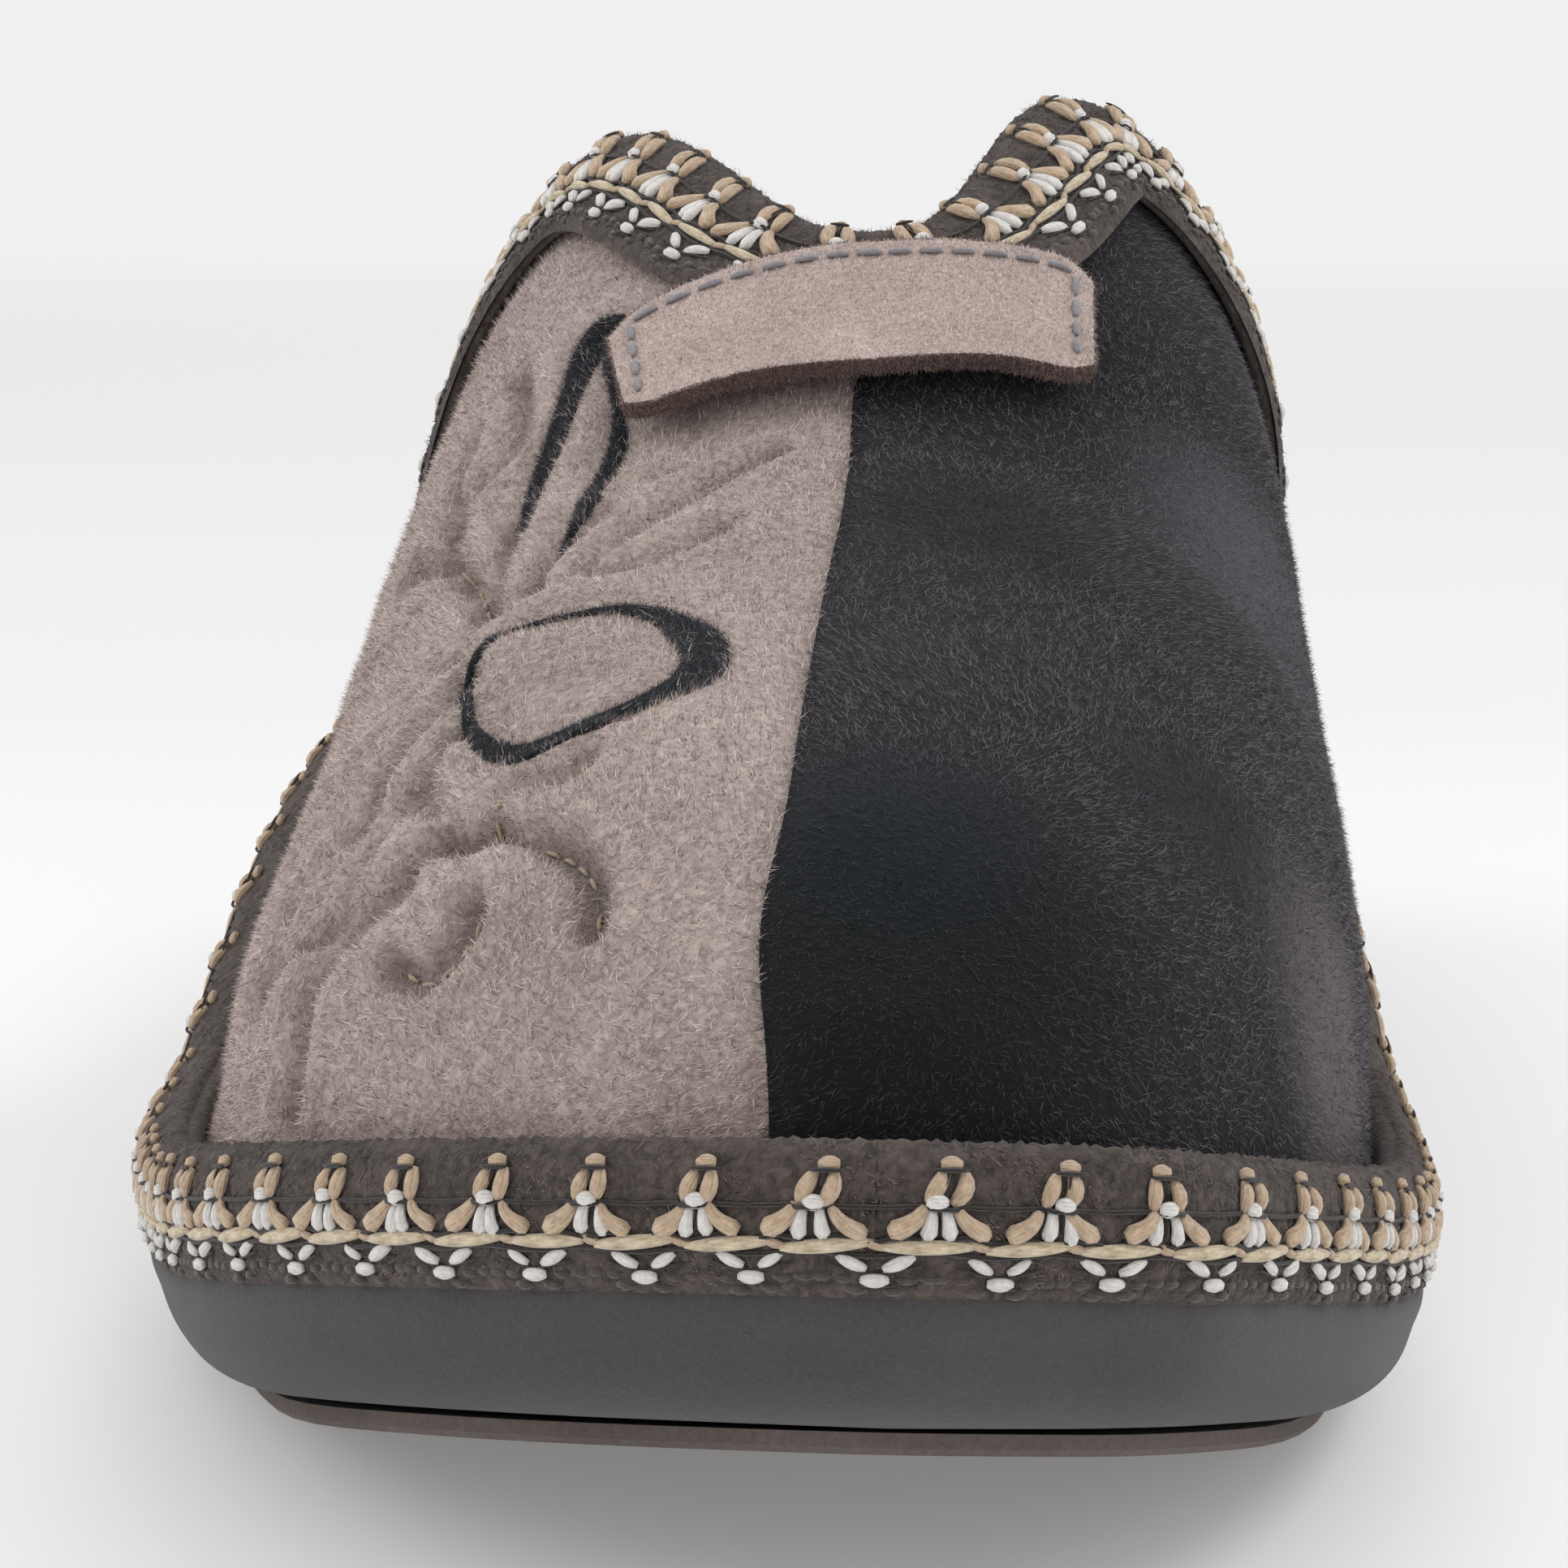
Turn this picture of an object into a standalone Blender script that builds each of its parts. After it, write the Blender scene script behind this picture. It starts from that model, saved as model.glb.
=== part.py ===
# Right-foot mule slipper on a covered wedge sole, in metres.
# The toe points to -Y, +Z is up, +X is the inner (big-toe) side,
# and the origin is on the floor under the middle of the slipper's box.

from collections import namedtuple

import bmesh
import bpy
import numpy as np
from mathutils import Vector

MM = 0.001
GAP = 0.3 * MM  # clearance between pieces that are sewn or glued together

# Sole: covered wedge on a thin outsole
SOLE_LENGTH = 260 * MM
BALL_WIDTH = 103 * MM
WEDGE_AT_BALL = 10.6 * MM
WEDGE_EDGE_IN = 6.5 * MM
WEDGE_EDGE_UP = 6 * MM
WEDGE_BELLY = 0.9 * MM
TOE_SPRING = 18.5 * MM
HEEL_LIFT = 29.5 * MM
ARCH_RISE = 2.5 * MM
OUTSOLE_THICKNESS = 1.6 * MM
OUTSOLE_INSET = 6.8 * MM
OUTSOLE_BEVEL = 0.5 * MM

# Rolled ribbon that stands on the wedge's edge
RIM_HEIGHT = 9.7 * MM
RIM_THICKNESS = 4.6 * MM
RIM_OVERHANG = 1.0 * MM

# Insole pad
INSOLE_THICKNESS = 3.4 * MM
INSOLE_ROUND = 1.2 * MM

# Vamp, the whole upper of a mule
FELT_THICKNESS = 3.2 * MM
THROAT_HEIGHT = 63 * MM
VAMP_COLUMNS = 36
VAMP_ROWS = 24

# Ribbon folded over the vamp's open edge
BINDING_THICKNESS = 1.5 * MM
BINDING_GAP = 0.4 * MM
BINDING_OUTSIDE = 11 * MM
BINDING_INSIDE = 8 * MM
BINDING_STATIONS = 58

# Suede tab across the throat
TAB_THICKNESS = 1.9 * MM
TAB_ALONG = 16 * MM
TAB_FRONT = 106 * MM  # from the toe to the tab's front edge
TAB_OUTER = 21 * MM  # from the ridge to the tab's outer end
TAB_INNER = 20.5 * MM
TAB_SKEW = 3 * MM  # how far its outer end lies ahead of its inner end
TAB_CORNER = 3.5 * MM

RING = 96  # points round the sole, an even number

# Half-widths of the sole: along is the share of the length from the toe,
# outer and inner are shares of the ball width from the straight centre line.
Plan = namedtuple("Plan", "along outer inner")
SOLE_PLAN = [
    Plan(0.008, 0.010, 0.190),
    Plan(0.023, 0.112, 0.272),
    Plan(0.046, 0.212, 0.330),
    Plan(0.077, 0.302, 0.377),
    Plan(0.115, 0.380, 0.419),
    Plan(0.173, 0.449, 0.464),
    Plan(0.231, 0.487, 0.488),
    Plan(0.308, 0.507, 0.496),
    Plan(0.385, 0.511, 0.484),
    Plan(0.462, 0.497, 0.460),
    Plan(0.540, 0.472, 0.430),
    Plan(0.635, 0.429, 0.391),
    Plan(0.750, 0.384, 0.358),
    Plan(0.846, 0.350, 0.336),
    Plan(0.923, 0.292, 0.283),
    Plan(0.969, 0.205, 0.200),
    Plan(0.992, 0.110, 0.108),
]
TOE_TIP = 0.097  # share of the ball width, towards the inner side
HEEL_TIP = -0.004

# Height of the sole along its length, as shares of TOE_SPRING, HEEL_LIFT and ARCH_RISE.
Profile = namedtuple("Profile", "along spring lift arch")
SOLE_PROFILE = [
    Profile(0.00, 1.00, 0.000, 0.0),
    Profile(0.08, 0.66, 0.000, 0.0),
    Profile(0.16, 0.34, 0.000, 0.0),
    Profile(0.24, 0.10, 0.000, 0.0),
    Profile(0.30, 0.00, 0.000, 0.0),
    Profile(0.37, 0.00, 0.035, 0.0),
    Profile(0.43, 0.00, 0.270, 0.5),
    Profile(0.48, 0.00, 0.510, 0.9),
    Profile(0.53, 0.00, 0.690, 1.0),
    Profile(0.60, 0.00, 0.850, 0.7),
    Profile(0.68, 0.00, 0.940, 0.0),
    Profile(0.80, 0.00, 0.985, 0.0),
    Profile(0.93, 0.00, 1.000, 0.0),
    Profile(1.00, 0.12, 1.000, 0.0),
]

# Cross sections of the vamp. height is a share of THROAT_HEIGHT, ridge, outer_bulge and
# inner_bulge are shares of BALL_WIDTH, and the square columns run from 2, round, to 4, boxy.
Section = namedtuple(
    "Section", "along height ridge outer_square inner_square outer_bulge inner_bulge"
)
VAMP_SECTIONS = [
    Section(0.000, 0.000, 0.095, 2.0, 2.0, 0.00, 0.000),
    Section(0.008, 0.246, 0.082, 2.1, 2.1, 0.00, 0.000),
    Section(0.023, 0.333, 0.062, 2.2, 2.2, 0.00, 0.000),
    Section(0.060, 0.490, 0.042, 2.3, 2.3, 0.00, 0.000),
    Section(0.135, 0.680, 0.035, 2.4, 2.4, 0.00, 0.005),
    Section(0.210, 0.820, 0.033, 2.4, 2.5, 0.00, 0.010),
    Section(0.290, 0.930, 0.032, 2.4, 2.6, 0.00, 0.015),
    Section(0.365, 0.985, 0.031, 2.4, 2.7, 0.00, 0.020),
    Section(0.442, 1.000, 0.030, 2.4, 2.8, 0.00, 0.025),
    Section(0.500, 1.050, 0.030, 2.4, 2.9, 0.00, 0.030),
    Section(0.558, 1.130, 0.030, 2.4, 2.9, 0.00, 0.030),
    Section(0.640, 1.210, 0.030, 2.4, 2.9, 0.00, 0.030),
]

# The vamp's open edge: around runs from 0 at the outer side over the ridge to 1 at the
# inner side, and along is the share of the sole's length where the edge lies.
Edge = namedtuple("Edge", "around along")
VAMP_EDGE = [
    Edge(0.00, 0.606),
    Edge(0.12, 0.604),
    Edge(0.25, 0.592),
    Edge(0.34, 0.568),
    Edge(0.41, 0.525),
    Edge(0.455, 0.493),
    Edge(0.50, 0.478),
    Edge(0.545, 0.500),
    Edge(0.59, 0.547),
    Edge(0.66, 0.578),
    Edge(0.78, 0.594),
    Edge(0.90, 0.600),
    Edge(1.00, 0.600),
]

# Rolled ribbon's section: out runs from its inner face, 0, to its outer face, 1.
RimPoint = namedtuple("RimPoint", "out up")
RIM_SECTION = [
    RimPoint(0.00, 0.00),
    RimPoint(0.84, 0.00),
    RimPoint(0.96, 0.14),
    RimPoint(1.00, 0.38),
    RimPoint(0.97, 0.62),
    RimPoint(0.84, 0.84),
    RimPoint(0.58, 0.98),
    RimPoint(0.34, 1.00),
    RimPoint(0.10, 0.91),
    RimPoint(0.00, 0.72),
]


# Curves through table rows


def smooth_curve(knots, values):
    # Natural cubic spline, for forms that must be fair.
    x, y = np.asarray(knots, float), np.asarray(values, float)
    h, n = np.diff(x), len(x)
    matrix, right = np.eye(n), np.zeros(n)
    for i in range(1, n - 1):
        matrix[i, i - 1 : i + 2] = h[i - 1], 2 * (h[i - 1] + h[i]), h[i]
        right[i] = 6 * ((y[i + 1] - y[i]) / h[i] - (y[i] - y[i - 1]) / h[i - 1])
    bend = np.linalg.solve(matrix, right)

    def at(t):
        t = np.clip(np.asarray(t, float), x[0], x[-1])
        k = np.clip(np.searchsorted(x, t) - 1, 0, n - 2)
        before, after, step = t - x[k], x[k + 1] - t, h[k]
        arcs = (bend[k] * after**3 + bend[k + 1] * before**3) / (6 * step)
        left = (y[k] / step - bend[k] * step / 6) * after
        return arcs + left + (y[k + 1] / step - bend[k + 1] * step / 6) * before

    return at


def steady_curve(knots, values):
    # Cubic that never passes its points, so level stretches stay level.
    x, y = np.asarray(knots, float), np.asarray(values, float)
    h = np.diff(x)
    rise = np.diff(y) / h
    slope = np.zeros(len(x))
    for i in range(1, len(x) - 1):
        if rise[i - 1] * rise[i] > 0:
            slope[i] = 2 * rise[i - 1] * rise[i] / (rise[i - 1] + rise[i])
    slope[0], slope[-1] = rise[0], rise[-1]

    def at(t):
        t = np.clip(np.asarray(t, float), x[0], x[-1])
        k = np.clip(np.searchsorted(x, t) - 1, 0, len(x) - 2)
        u = (t - x[k]) / h[k]
        ends = (1 + 2 * u) * (1 - u) ** 2 * y[k] + u * u * (3 - 2 * u) * y[k + 1]
        pulls = u * (1 - u) ** 2 * slope[k] - u * u * (1 - u) * slope[k + 1]
        return ends + pulls * h[k]

    return at


def column(rows, name):
    return [getattr(row, name) for row in rows]


# Sole outline and heights


def make_outline():
    # Half-width against the angle round the sole: 0 at the toe, pi at the heel.
    outer = [(np.arccos(1 - 2 * row.along), -row.outer) for row in SOLE_PLAN]
    inner = [(2 * np.pi - np.arccos(1 - 2 * row.along), row.inner) for row in SOLE_PLAN]
    once = [(0.0, TOE_TIP), *outer, (np.pi, HEEL_TIP), *inner[::-1]]
    turns = [(a + turn, x) for turn in (-2 * np.pi, 0, 2 * np.pi) for a, x in once]
    return smooth_curve([a for a, _ in turns], [x * BALL_WIDTH for _, x in turns])


outline_x = make_outline()


def sole_point(angle, out=0.0):
    # Plan position on the sole's outline, moved out along its normal.
    step = 1e-4

    def plain(a):
        return np.array([outline_x(a), -SOLE_LENGTH / 2 * np.cos(a)])

    run = plain(angle + step) - plain(angle - step)
    run /= np.linalg.norm(run, axis=0)
    return plain(angle) + out * np.array([-run[1], run[0]])


def ring_angles():
    return np.arange(RING) * 2 * np.pi / RING


# The middle of the ribbon's plan box becomes the origin.
rim_plan = sole_point(np.linspace(0, 2 * np.pi, 2000), RIM_OVERHANG)
CENTRE = (rim_plan.min(1) + rim_plan.max(1)) / 2
TOE_Y = -SOLE_LENGTH / 2

along_rows = column(SOLE_PROFILE, "along")
spring_share = steady_curve(along_rows, column(SOLE_PROFILE, "spring"))
lift_share = steady_curve(along_rows, column(SOLE_PROFILE, "lift"))
arch_share = steady_curve(along_rows, column(SOLE_PROFILE, "arch"))


ring_stations = TOE_Y + SOLE_LENGTH / 2 * (1 - np.cos(np.linspace(0, np.pi, RING // 2 + 1)))


def share_along(y):
    return np.clip((y - TOE_Y) / SOLE_LENGTH, 0, 1)


def outsole_bottom(y):
    along = share_along(y)
    return TOE_SPRING * spring_share(along) + ARCH_RISE * arch_share(along)


def wedge_bottom(y):
    return outsole_bottom(y) + OUTSOLE_THICKNESS + GAP


def wedge_top(y):
    along = share_along(y)
    level = OUTSOLE_THICKNESS + GAP + WEDGE_AT_BALL
    return level + TOE_SPRING * spring_share(along) + HEEL_LIFT * lift_share(along)


def wedge_seat(y):
    # The wedge's faceted top, for pieces whose own points lie between its rings.
    return np.interp(y, ring_stations, wedge_top(ring_stations))


# Meshes


def make_object(name, vertices, faces, color, roughness):
    mesh = bpy.data.meshes.new(name)
    middle = np.array([CENTRE[0], CENTRE[1], 0.0])
    mesh.from_pydata([tuple(v - middle) for v in vertices], [], faces)
    mesh.validate()
    body = bmesh.new()
    body.from_mesh(mesh)
    bmesh.ops.recalc_face_normals(body, faces=body.faces)
    body.to_mesh(mesh)
    body.free()
    thing = bpy.data.objects.new(name, mesh)
    parts.objects.link(thing)
    material = bpy.data.materials.new(name)
    material.use_nodes = True
    shader = material.node_tree.nodes["Principled BSDF"]
    shader.inputs["Base Color"].default_value = (*color, 1.0)
    shader.inputs["Roughness"].default_value = roughness
    mesh.materials.append(material)
    mesh.shade_smooth()
    mesh.set_sharp_from_angle(angle=0.9)
    return thing


def sole_ring(out, height):
    # One closed line round the sole; out and height are functions of the plan y.
    points = []
    for angle in ring_angles():
        y = sole_point(angle)[1]
        spot = sole_point(angle, out(y))
        points.append(np.array([spot[0], spot[1], height(spot[1])]))
    return points


def loft_rings(rings, closed=False):
    # Skin from ring to ring; an open loft gets a lid at each end.
    count = len(rings[0])
    vertices = [point for ring in rings for point in ring]
    faces = []
    last = len(rings) if closed else len(rings) - 1
    for r in range(last):
        low, high = r * count, (r + 1) % len(rings) * count
        for i in range(count):
            j = (i + 1) % count
            faces.append((low + i, low + j, high + j, high + i))
    if not closed:
        for start in (0, (len(rings) - 1) * count):
            faces += lid_faces(start, count)
    return vertices, faces


def lid_faces(start, count):
    # Strips across the sole, from its outer side to its inner side.
    half = count // 2
    faces = [(start, start + 1, start + count - 1)]
    for i in range(1, half - 1):
        faces.append((start + i, start + i + 1, start + count - i - 1, start + count - i))
    faces.append((start + half - 1, start + half, start + half + 1))
    return faces


# Sole pieces


def build_outsole():
    flat = lambda y: -OUTSOLE_INSET
    cut_in = lambda y: -OUTSOLE_INSET - OUTSOLE_BEVEL
    rings = [
        sole_ring(cut_in, outsole_bottom),
        sole_ring(flat, lambda y: outsole_bottom(y) + OUTSOLE_BEVEL),
        sole_ring(flat, lambda y: outsole_bottom(y) + OUTSOLE_THICKNESS),
    ]
    make_object("outsole", *loft_rings(rings), (0.30, 0.28, 0.27), 0.8)


def build_wedge():
    rings = []
    # Rounded lower edge, a quarter turn
    for turn in np.linspace(0, np.pi / 2, 5):
        inset = WEDGE_EDGE_IN * (1 - np.sin(turn))
        rise = WEDGE_EDGE_UP * (1 - np.cos(turn))
        rings.append(
            sole_ring(lambda y, d=inset: -d, lambda y, u=rise: wedge_bottom(y) + u)
        )
    # Puffed side wall above it
    for share in (0.35, 0.7, 1.0):
        puff = WEDGE_BELLY * np.sin(np.pi * share)

        def height(y, part=share):
            low = wedge_bottom(y) + WEDGE_EDGE_UP
            return low + part * (wedge_top(y) - low)

        rings.append(sole_ring(lambda y, d=puff: d, height))
    make_object("wedge", *loft_rings(rings), (0.16, 0.15, 0.15), 0.95)


def build_sole_ribbon():
    inner_face = RIM_OVERHANG - RIM_THICKNESS
    rings = []
    for point in RIM_SECTION:
        out = inner_face + point.out * RIM_THICKNESS
        rise = GAP + point.up * RIM_HEIGHT
        rings.append(
            sole_ring(lambda y, d=out: d, lambda y, u=rise: wedge_top(y) + u)
        )
    make_object("sole_ribbon", *loft_rings(rings, closed=True), (0.10, 0.08, 0.07), 0.95)


VAMP_BASE_OUT = RIM_OVERHANG - RIM_THICKNESS - GAP  # the vamp's outer face at its foot


def insole_out(y):
    # Inside the vamp's wall in front, out to the ribbon behind it.
    in_front = VAMP_BASE_OUT - FELT_THICKNESS - GAP
    behind = VAMP_BASE_OUT
    start = max(column(VAMP_EDGE, "along")) + 0.02
    turn = np.clip((share_along(y) - start) / 0.05, 0, 1)
    return in_front + (behind - in_front) * turn * turn * (3 - 2 * turn)


def build_insole():
    def ring(inset, up):
        return sole_ring(
            lambda y: insole_out(y) - inset, lambda y: wedge_top(y) + GAP + up
        )

    rings = [
        ring(0, 0),
        ring(0, INSOLE_THICKNESS - INSOLE_ROUND),
        ring(0.3 * INSOLE_ROUND, INSOLE_THICKNESS - 0.3 * INSOLE_ROUND),
        ring(INSOLE_ROUND, INSOLE_THICKNESS),
    ]
    make_object("insole", *loft_rings(rings), (0.32, 0.29, 0.28), 0.95)


# Vamp surface

vamp_plan = sole_point(np.linspace(0, np.pi, 1500), VAMP_BASE_OUT)
vamp_plan_inner = sole_point(np.linspace(2 * np.pi, np.pi, 1500), VAMP_BASE_OUT)
VAMP_TOE = min(vamp_plan[1].min(), vamp_plan_inner[1].min())


def half_line(plan):
    # The side's x against the root of the distance from the vamp's toe, which is smooth there.
    tip = int(np.argmin(plan[1]))
    run = plan[:, tip:]
    root = np.sqrt(np.maximum(run[1] - VAMP_TOE, 0))
    return lambda depth: np.interp(np.sqrt(np.maximum(depth, 0)), root, run[0])


outer_line = half_line(vamp_plan)
inner_line = half_line(vamp_plan_inner)
section_roots = np.sqrt(column(VAMP_SECTIONS, "along"))
section_value = {
    name: smooth_curve(section_roots, column(VAMP_SECTIONS, name))
    for name in Section._fields[1:]
}
edge_along = smooth_curve(column(VAMP_EDGE, "around"), column(VAMP_EDGE, "along"))


def vamp_point(depth, around):
    # Point on the vamp's outer face. depth is the distance behind the vamp's toe,
    # and around runs from 0 at the outer foot over the ridge to 1 at the inner foot.
    y = VAMP_TOE + depth
    root = np.sqrt(max(depth, 0) / SOLE_LENGTH)
    get = {name: float(curve(root)) for name, curve in section_value.items()}
    height = max(get["height"], 0) * THROAT_HEIGHT
    ridge = get["ridge"] * BALL_WIDTH
    outer_side = around < 0.5
    foot = float(outer_line(depth) if outer_side else inner_line(depth))
    square = get["outer_square"] if outer_side else get["inner_square"]
    bulge = get["outer_bulge"] if outer_side else get["inner_bulge"]
    turn = np.pi * (around if outer_side else 1 - around)
    side = max(np.cos(turn), 0) ** (2 / square)
    up = height * max(np.sin(turn), 0) ** (2 / square)
    above_rim = np.clip((up - RIM_HEIGHT) / max(height - RIM_HEIGHT, 1e-6), 0, 1)
    puff = bulge * BALL_WIDTH * np.sin(np.pi * above_rim) ** 2
    x = ridge + (foot - ridge) * side + (-puff if outer_side else puff)
    seat = max(wedge_top(y), wedge_seat(y)) if up < RIM_HEIGHT / 2 else wedge_top(y)
    return np.array([x, y, seat + GAP + up])


def vamp_depth(along):
    return along * SOLE_LENGTH - (VAMP_TOE - TOE_Y)


def vamp_frame(depth, around):
    # Surface point with its slopes along depth and around, and its outward normal.
    step_d, step_a = 0.2 * MM, 0.002
    here = vamp_point(depth, around)
    by_depth = vamp_point(depth + step_d, around) - vamp_point(depth - step_d, around)
    low, high = max(around - step_a, 0), min(around + step_a, 1)
    by_around = vamp_point(depth, high) - vamp_point(depth, low)
    normal = np.cross(by_around, by_depth)
    normal /= np.linalg.norm(normal)
    return here, by_depth / (2 * step_d), by_around / (high - low), normal


def build_vamp():
    # Columns start at one point on the toe and end on the open edge.
    vertices, index = [vamp_point(0.0, 0.5)], {}
    arounds = np.linspace(0, 1, VAMP_COLUMNS + 1)
    for j, around in enumerate(arounds):
        reach = vamp_depth(float(edge_along(around)))
        for i in range(1, VAMP_ROWS + 1):
            index[i, j] = len(vertices)
            share = (i / VAMP_ROWS) ** 1.6
            vertices.append(vamp_point(share * reach, around))
    faces = []
    for j in range(VAMP_COLUMNS):
        faces.append((0, index[1, j], index[1, j + 1]))
        for i in range(1, VAMP_ROWS):
            corners = (index[i, j], index[i + 1, j], index[i + 1, j + 1], index[i, j + 1])
            faces.append(corners)
    vamp = make_object("vamp", vertices, faces, (0.28, 0.25, 0.24), 1.0)
    point_outwards(vamp)
    wall = vamp.modifiers.new("felt", "SOLIDIFY")
    wall.thickness = FELT_THICKNESS
    wall.offset = -1
    wall.use_even_offset = True
    return vamp


def point_outwards(thing):
    # An open sheet's normals are turned so that most of them point up.
    mesh = thing.data
    if sum(face.normal.z * face.area for face in mesh.polygons) < 0:
        mesh.flip_normals()


# Collar ribbon


def edge_frame(around):
    # Place, run, inward direction and normal of the vamp's open edge.
    step = 0.002
    low, high = max(around - step, 0), min(around + step, 1)

    def spot(a):
        return vamp_point(vamp_depth(float(edge_along(a))), a)

    here, _, _, normal = vamp_frame(vamp_depth(float(edge_along(around))), around)
    run = spot(high) - spot(low)
    run /= np.linalg.norm(run)
    inward = np.cross(run, normal)
    inward /= np.linalg.norm(inward)
    return here, run, inward, normal


def walk_in(around, distance):
    # Follows the felt from its open edge, square to that edge.
    depth = vamp_depth(float(edge_along(around)))
    _, _, inward, _ = edge_frame(around)
    place = around
    steps = 6
    for _ in range(steps):
        _, by_depth, by_around, _ = vamp_frame(depth, place)
        slopes = np.column_stack([by_depth, by_around])
        move = np.linalg.lstsq(slopes, inward * distance / steps, rcond=None)[0]
        depth += move[0]
        place = float(np.clip(place + move[1], 0.002, 0.998))
    here, _, _, normal = vamp_frame(depth, place)
    return here, normal


def edge_range():
    # The ribbon covers the edge only where it stands above the sole's ribbon.
    arounds = np.linspace(0, 1, 800)
    clear = []
    for around in arounds:
        here = vamp_point(vamp_depth(float(edge_along(around))), around)
        top = wedge_top(here[1]) + GAP + RIM_HEIGHT + 2 * GAP
        clear.append(here[2] > top)
    inside = arounds[np.array(clear)]
    return inside[0], inside[-1]


def even_arounds(start, end, count):
    # Places along the edge at even distances.
    arounds = np.linspace(start, end, 600)
    line = np.array([vamp_point(vamp_depth(float(edge_along(a))), a) for a in arounds])
    run = np.concatenate([[0], np.cumsum(np.linalg.norm(np.diff(line, axis=0), axis=1))])
    return np.interp(np.linspace(0, run[-1], count), run, arounds)


def binding_section(around):
    # Closed section of the folded ribbon, from its outer lower edge over the fold.
    here, _, inward, normal = edge_frame(around)
    near, far = BINDING_GAP, BINDING_GAP + BINDING_THICKNESS
    middle = here - normal * FELT_THICKNESS / 2
    outside = [walk_in(around, d * BINDING_OUTSIDE) for d in (1.0, 0.66, 0.33)]
    inside = [walk_in(around, d * BINDING_INSIDE) for d in (0.5, 1.0)]
    points = [spot + n * near for spot, n in outside[:1]]
    points += [spot + n * far for spot, n in outside]
    for reach, order in ((far, 1), (near, -1)):
        radius = FELT_THICKNESS / 2 + reach
        turns = np.linspace(0, np.pi, 5)[::order]
        arc = [middle + radius * (normal * np.cos(t) - inward * np.sin(t)) for t in turns]
        if order == 1:
            points += arc
            points += [spot - n * (FELT_THICKNESS + far) for spot, n in inside]
            points += [inside[1][0] - inside[1][1] * (FELT_THICKNESS + near)]
            points += [inside[0][0] - inside[0][1] * (FELT_THICKNESS + near)]
        else:
            points += arc
    points += [spot + n * near for spot, n in outside[:0:-1]]
    return points


def build_collar_ribbon():
    start, end = edge_range()
    sections = [binding_section(a) for a in even_arounds(start, end, BINDING_STATIONS)]
    count = len(sections[0])
    vertices = [point for section in sections for point in section]
    faces = []
    for r in range(len(sections) - 1):
        for i in range(count):
            j = (i + 1) % count
            low, high = r * count, (r + 1) * count
            faces.append((low + i, low + j, high + j, high + i))
    faces.append(tuple(range(count)))
    faces.append(tuple(range((len(sections) - 1) * count, len(sections) * count)))
    make_object("collar_ribbon", vertices, faces, (0.10, 0.08, 0.07), 0.95)


# Throat tab


def build_throat_tab():
    # A sheet over the notch's foot, clear of the folded ribbon under it.
    across_steps, along_steps = 16, 6
    lift = BINDING_GAP + BINDING_THICKNESS + GAP
    vertices, faces = [], []
    for i in range(along_steps + 1):
        for j in range(across_steps + 1):
            share = j / across_steps
            side = -TAB_OUTER + share * (TAB_OUTER + TAB_INNER)
            end_gap = min(side + TAB_OUTER, TAB_INNER - side)
            cut = TAB_CORNER * max(0, 1 - end_gap / TAB_CORNER) ** 2 * 0.6
            along = cut + (TAB_ALONG - 2 * cut) * i / along_steps
            turned = TAB_SKEW * (share - 0.5)
            depth = TAB_FRONT + along + turned - (VAMP_TOE - TOE_Y)
            around = around_at(depth, side)
            here, _, _, normal = vamp_frame(depth, around)
            vertices.append(here + normal * lift)
    wide = across_steps + 1
    for i in range(along_steps):
        for j in range(across_steps):
            a = i * wide + j
            faces.append((a, a + 1, a + 1 + wide, a + wide))
    tab = make_object("throat_tab", vertices, faces, (0.28, 0.22, 0.21), 0.9)
    point_outwards(tab)
    sheet = tab.modifiers.new("suede", "SOLIDIFY")
    sheet.thickness = TAB_THICKNESS
    sheet.offset = 1
    sheet.use_even_offset = True


def around_at(depth, side):
    # The place on a section that lies a given distance from the ridge, along the felt.
    arounds = np.linspace(0.05, 0.95, 181)
    line = np.array([vamp_point(depth, a) for a in arounds])
    run = np.concatenate([[0], np.cumsum(np.linalg.norm(np.diff(line, axis=0), axis=1))])
    ridge = np.interp(0.5, arounds, run)
    return float(np.interp(ridge + side, run, arounds))


for old in list(bpy.data.objects):
    bpy.data.objects.remove(old)
parts = bpy.data.collections.new("mule_slipper")
bpy.context.scene.collection.children.link(parts)

build_outsole()
build_wedge()
build_sole_ribbon()
build_insole()
build_vamp()
build_collar_ribbon()
build_throat_tab()
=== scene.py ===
import math

import bpy
import numpy as np
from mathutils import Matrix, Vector
from mathutils.bvhtree import BVHTree
from mathutils.kdtree import KDTree


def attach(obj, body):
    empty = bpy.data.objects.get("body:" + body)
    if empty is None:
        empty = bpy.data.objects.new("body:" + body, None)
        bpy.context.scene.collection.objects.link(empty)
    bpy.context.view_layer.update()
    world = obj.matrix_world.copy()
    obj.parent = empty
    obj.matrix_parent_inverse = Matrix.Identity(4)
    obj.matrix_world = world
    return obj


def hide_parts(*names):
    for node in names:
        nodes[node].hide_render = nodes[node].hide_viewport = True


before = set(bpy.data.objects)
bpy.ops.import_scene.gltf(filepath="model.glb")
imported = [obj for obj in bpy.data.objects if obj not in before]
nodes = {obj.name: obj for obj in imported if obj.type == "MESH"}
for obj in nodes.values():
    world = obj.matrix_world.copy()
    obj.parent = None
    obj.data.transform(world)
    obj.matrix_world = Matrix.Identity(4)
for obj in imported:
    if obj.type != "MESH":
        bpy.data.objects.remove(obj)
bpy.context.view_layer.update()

# Mule slipper: felt, ribbons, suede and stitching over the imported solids.
# Toe towards -Y, heel towards +Y, +X is the inner side. All lengths in metres.

mm = 0.001
rng = np.random.default_rng(11)

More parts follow.
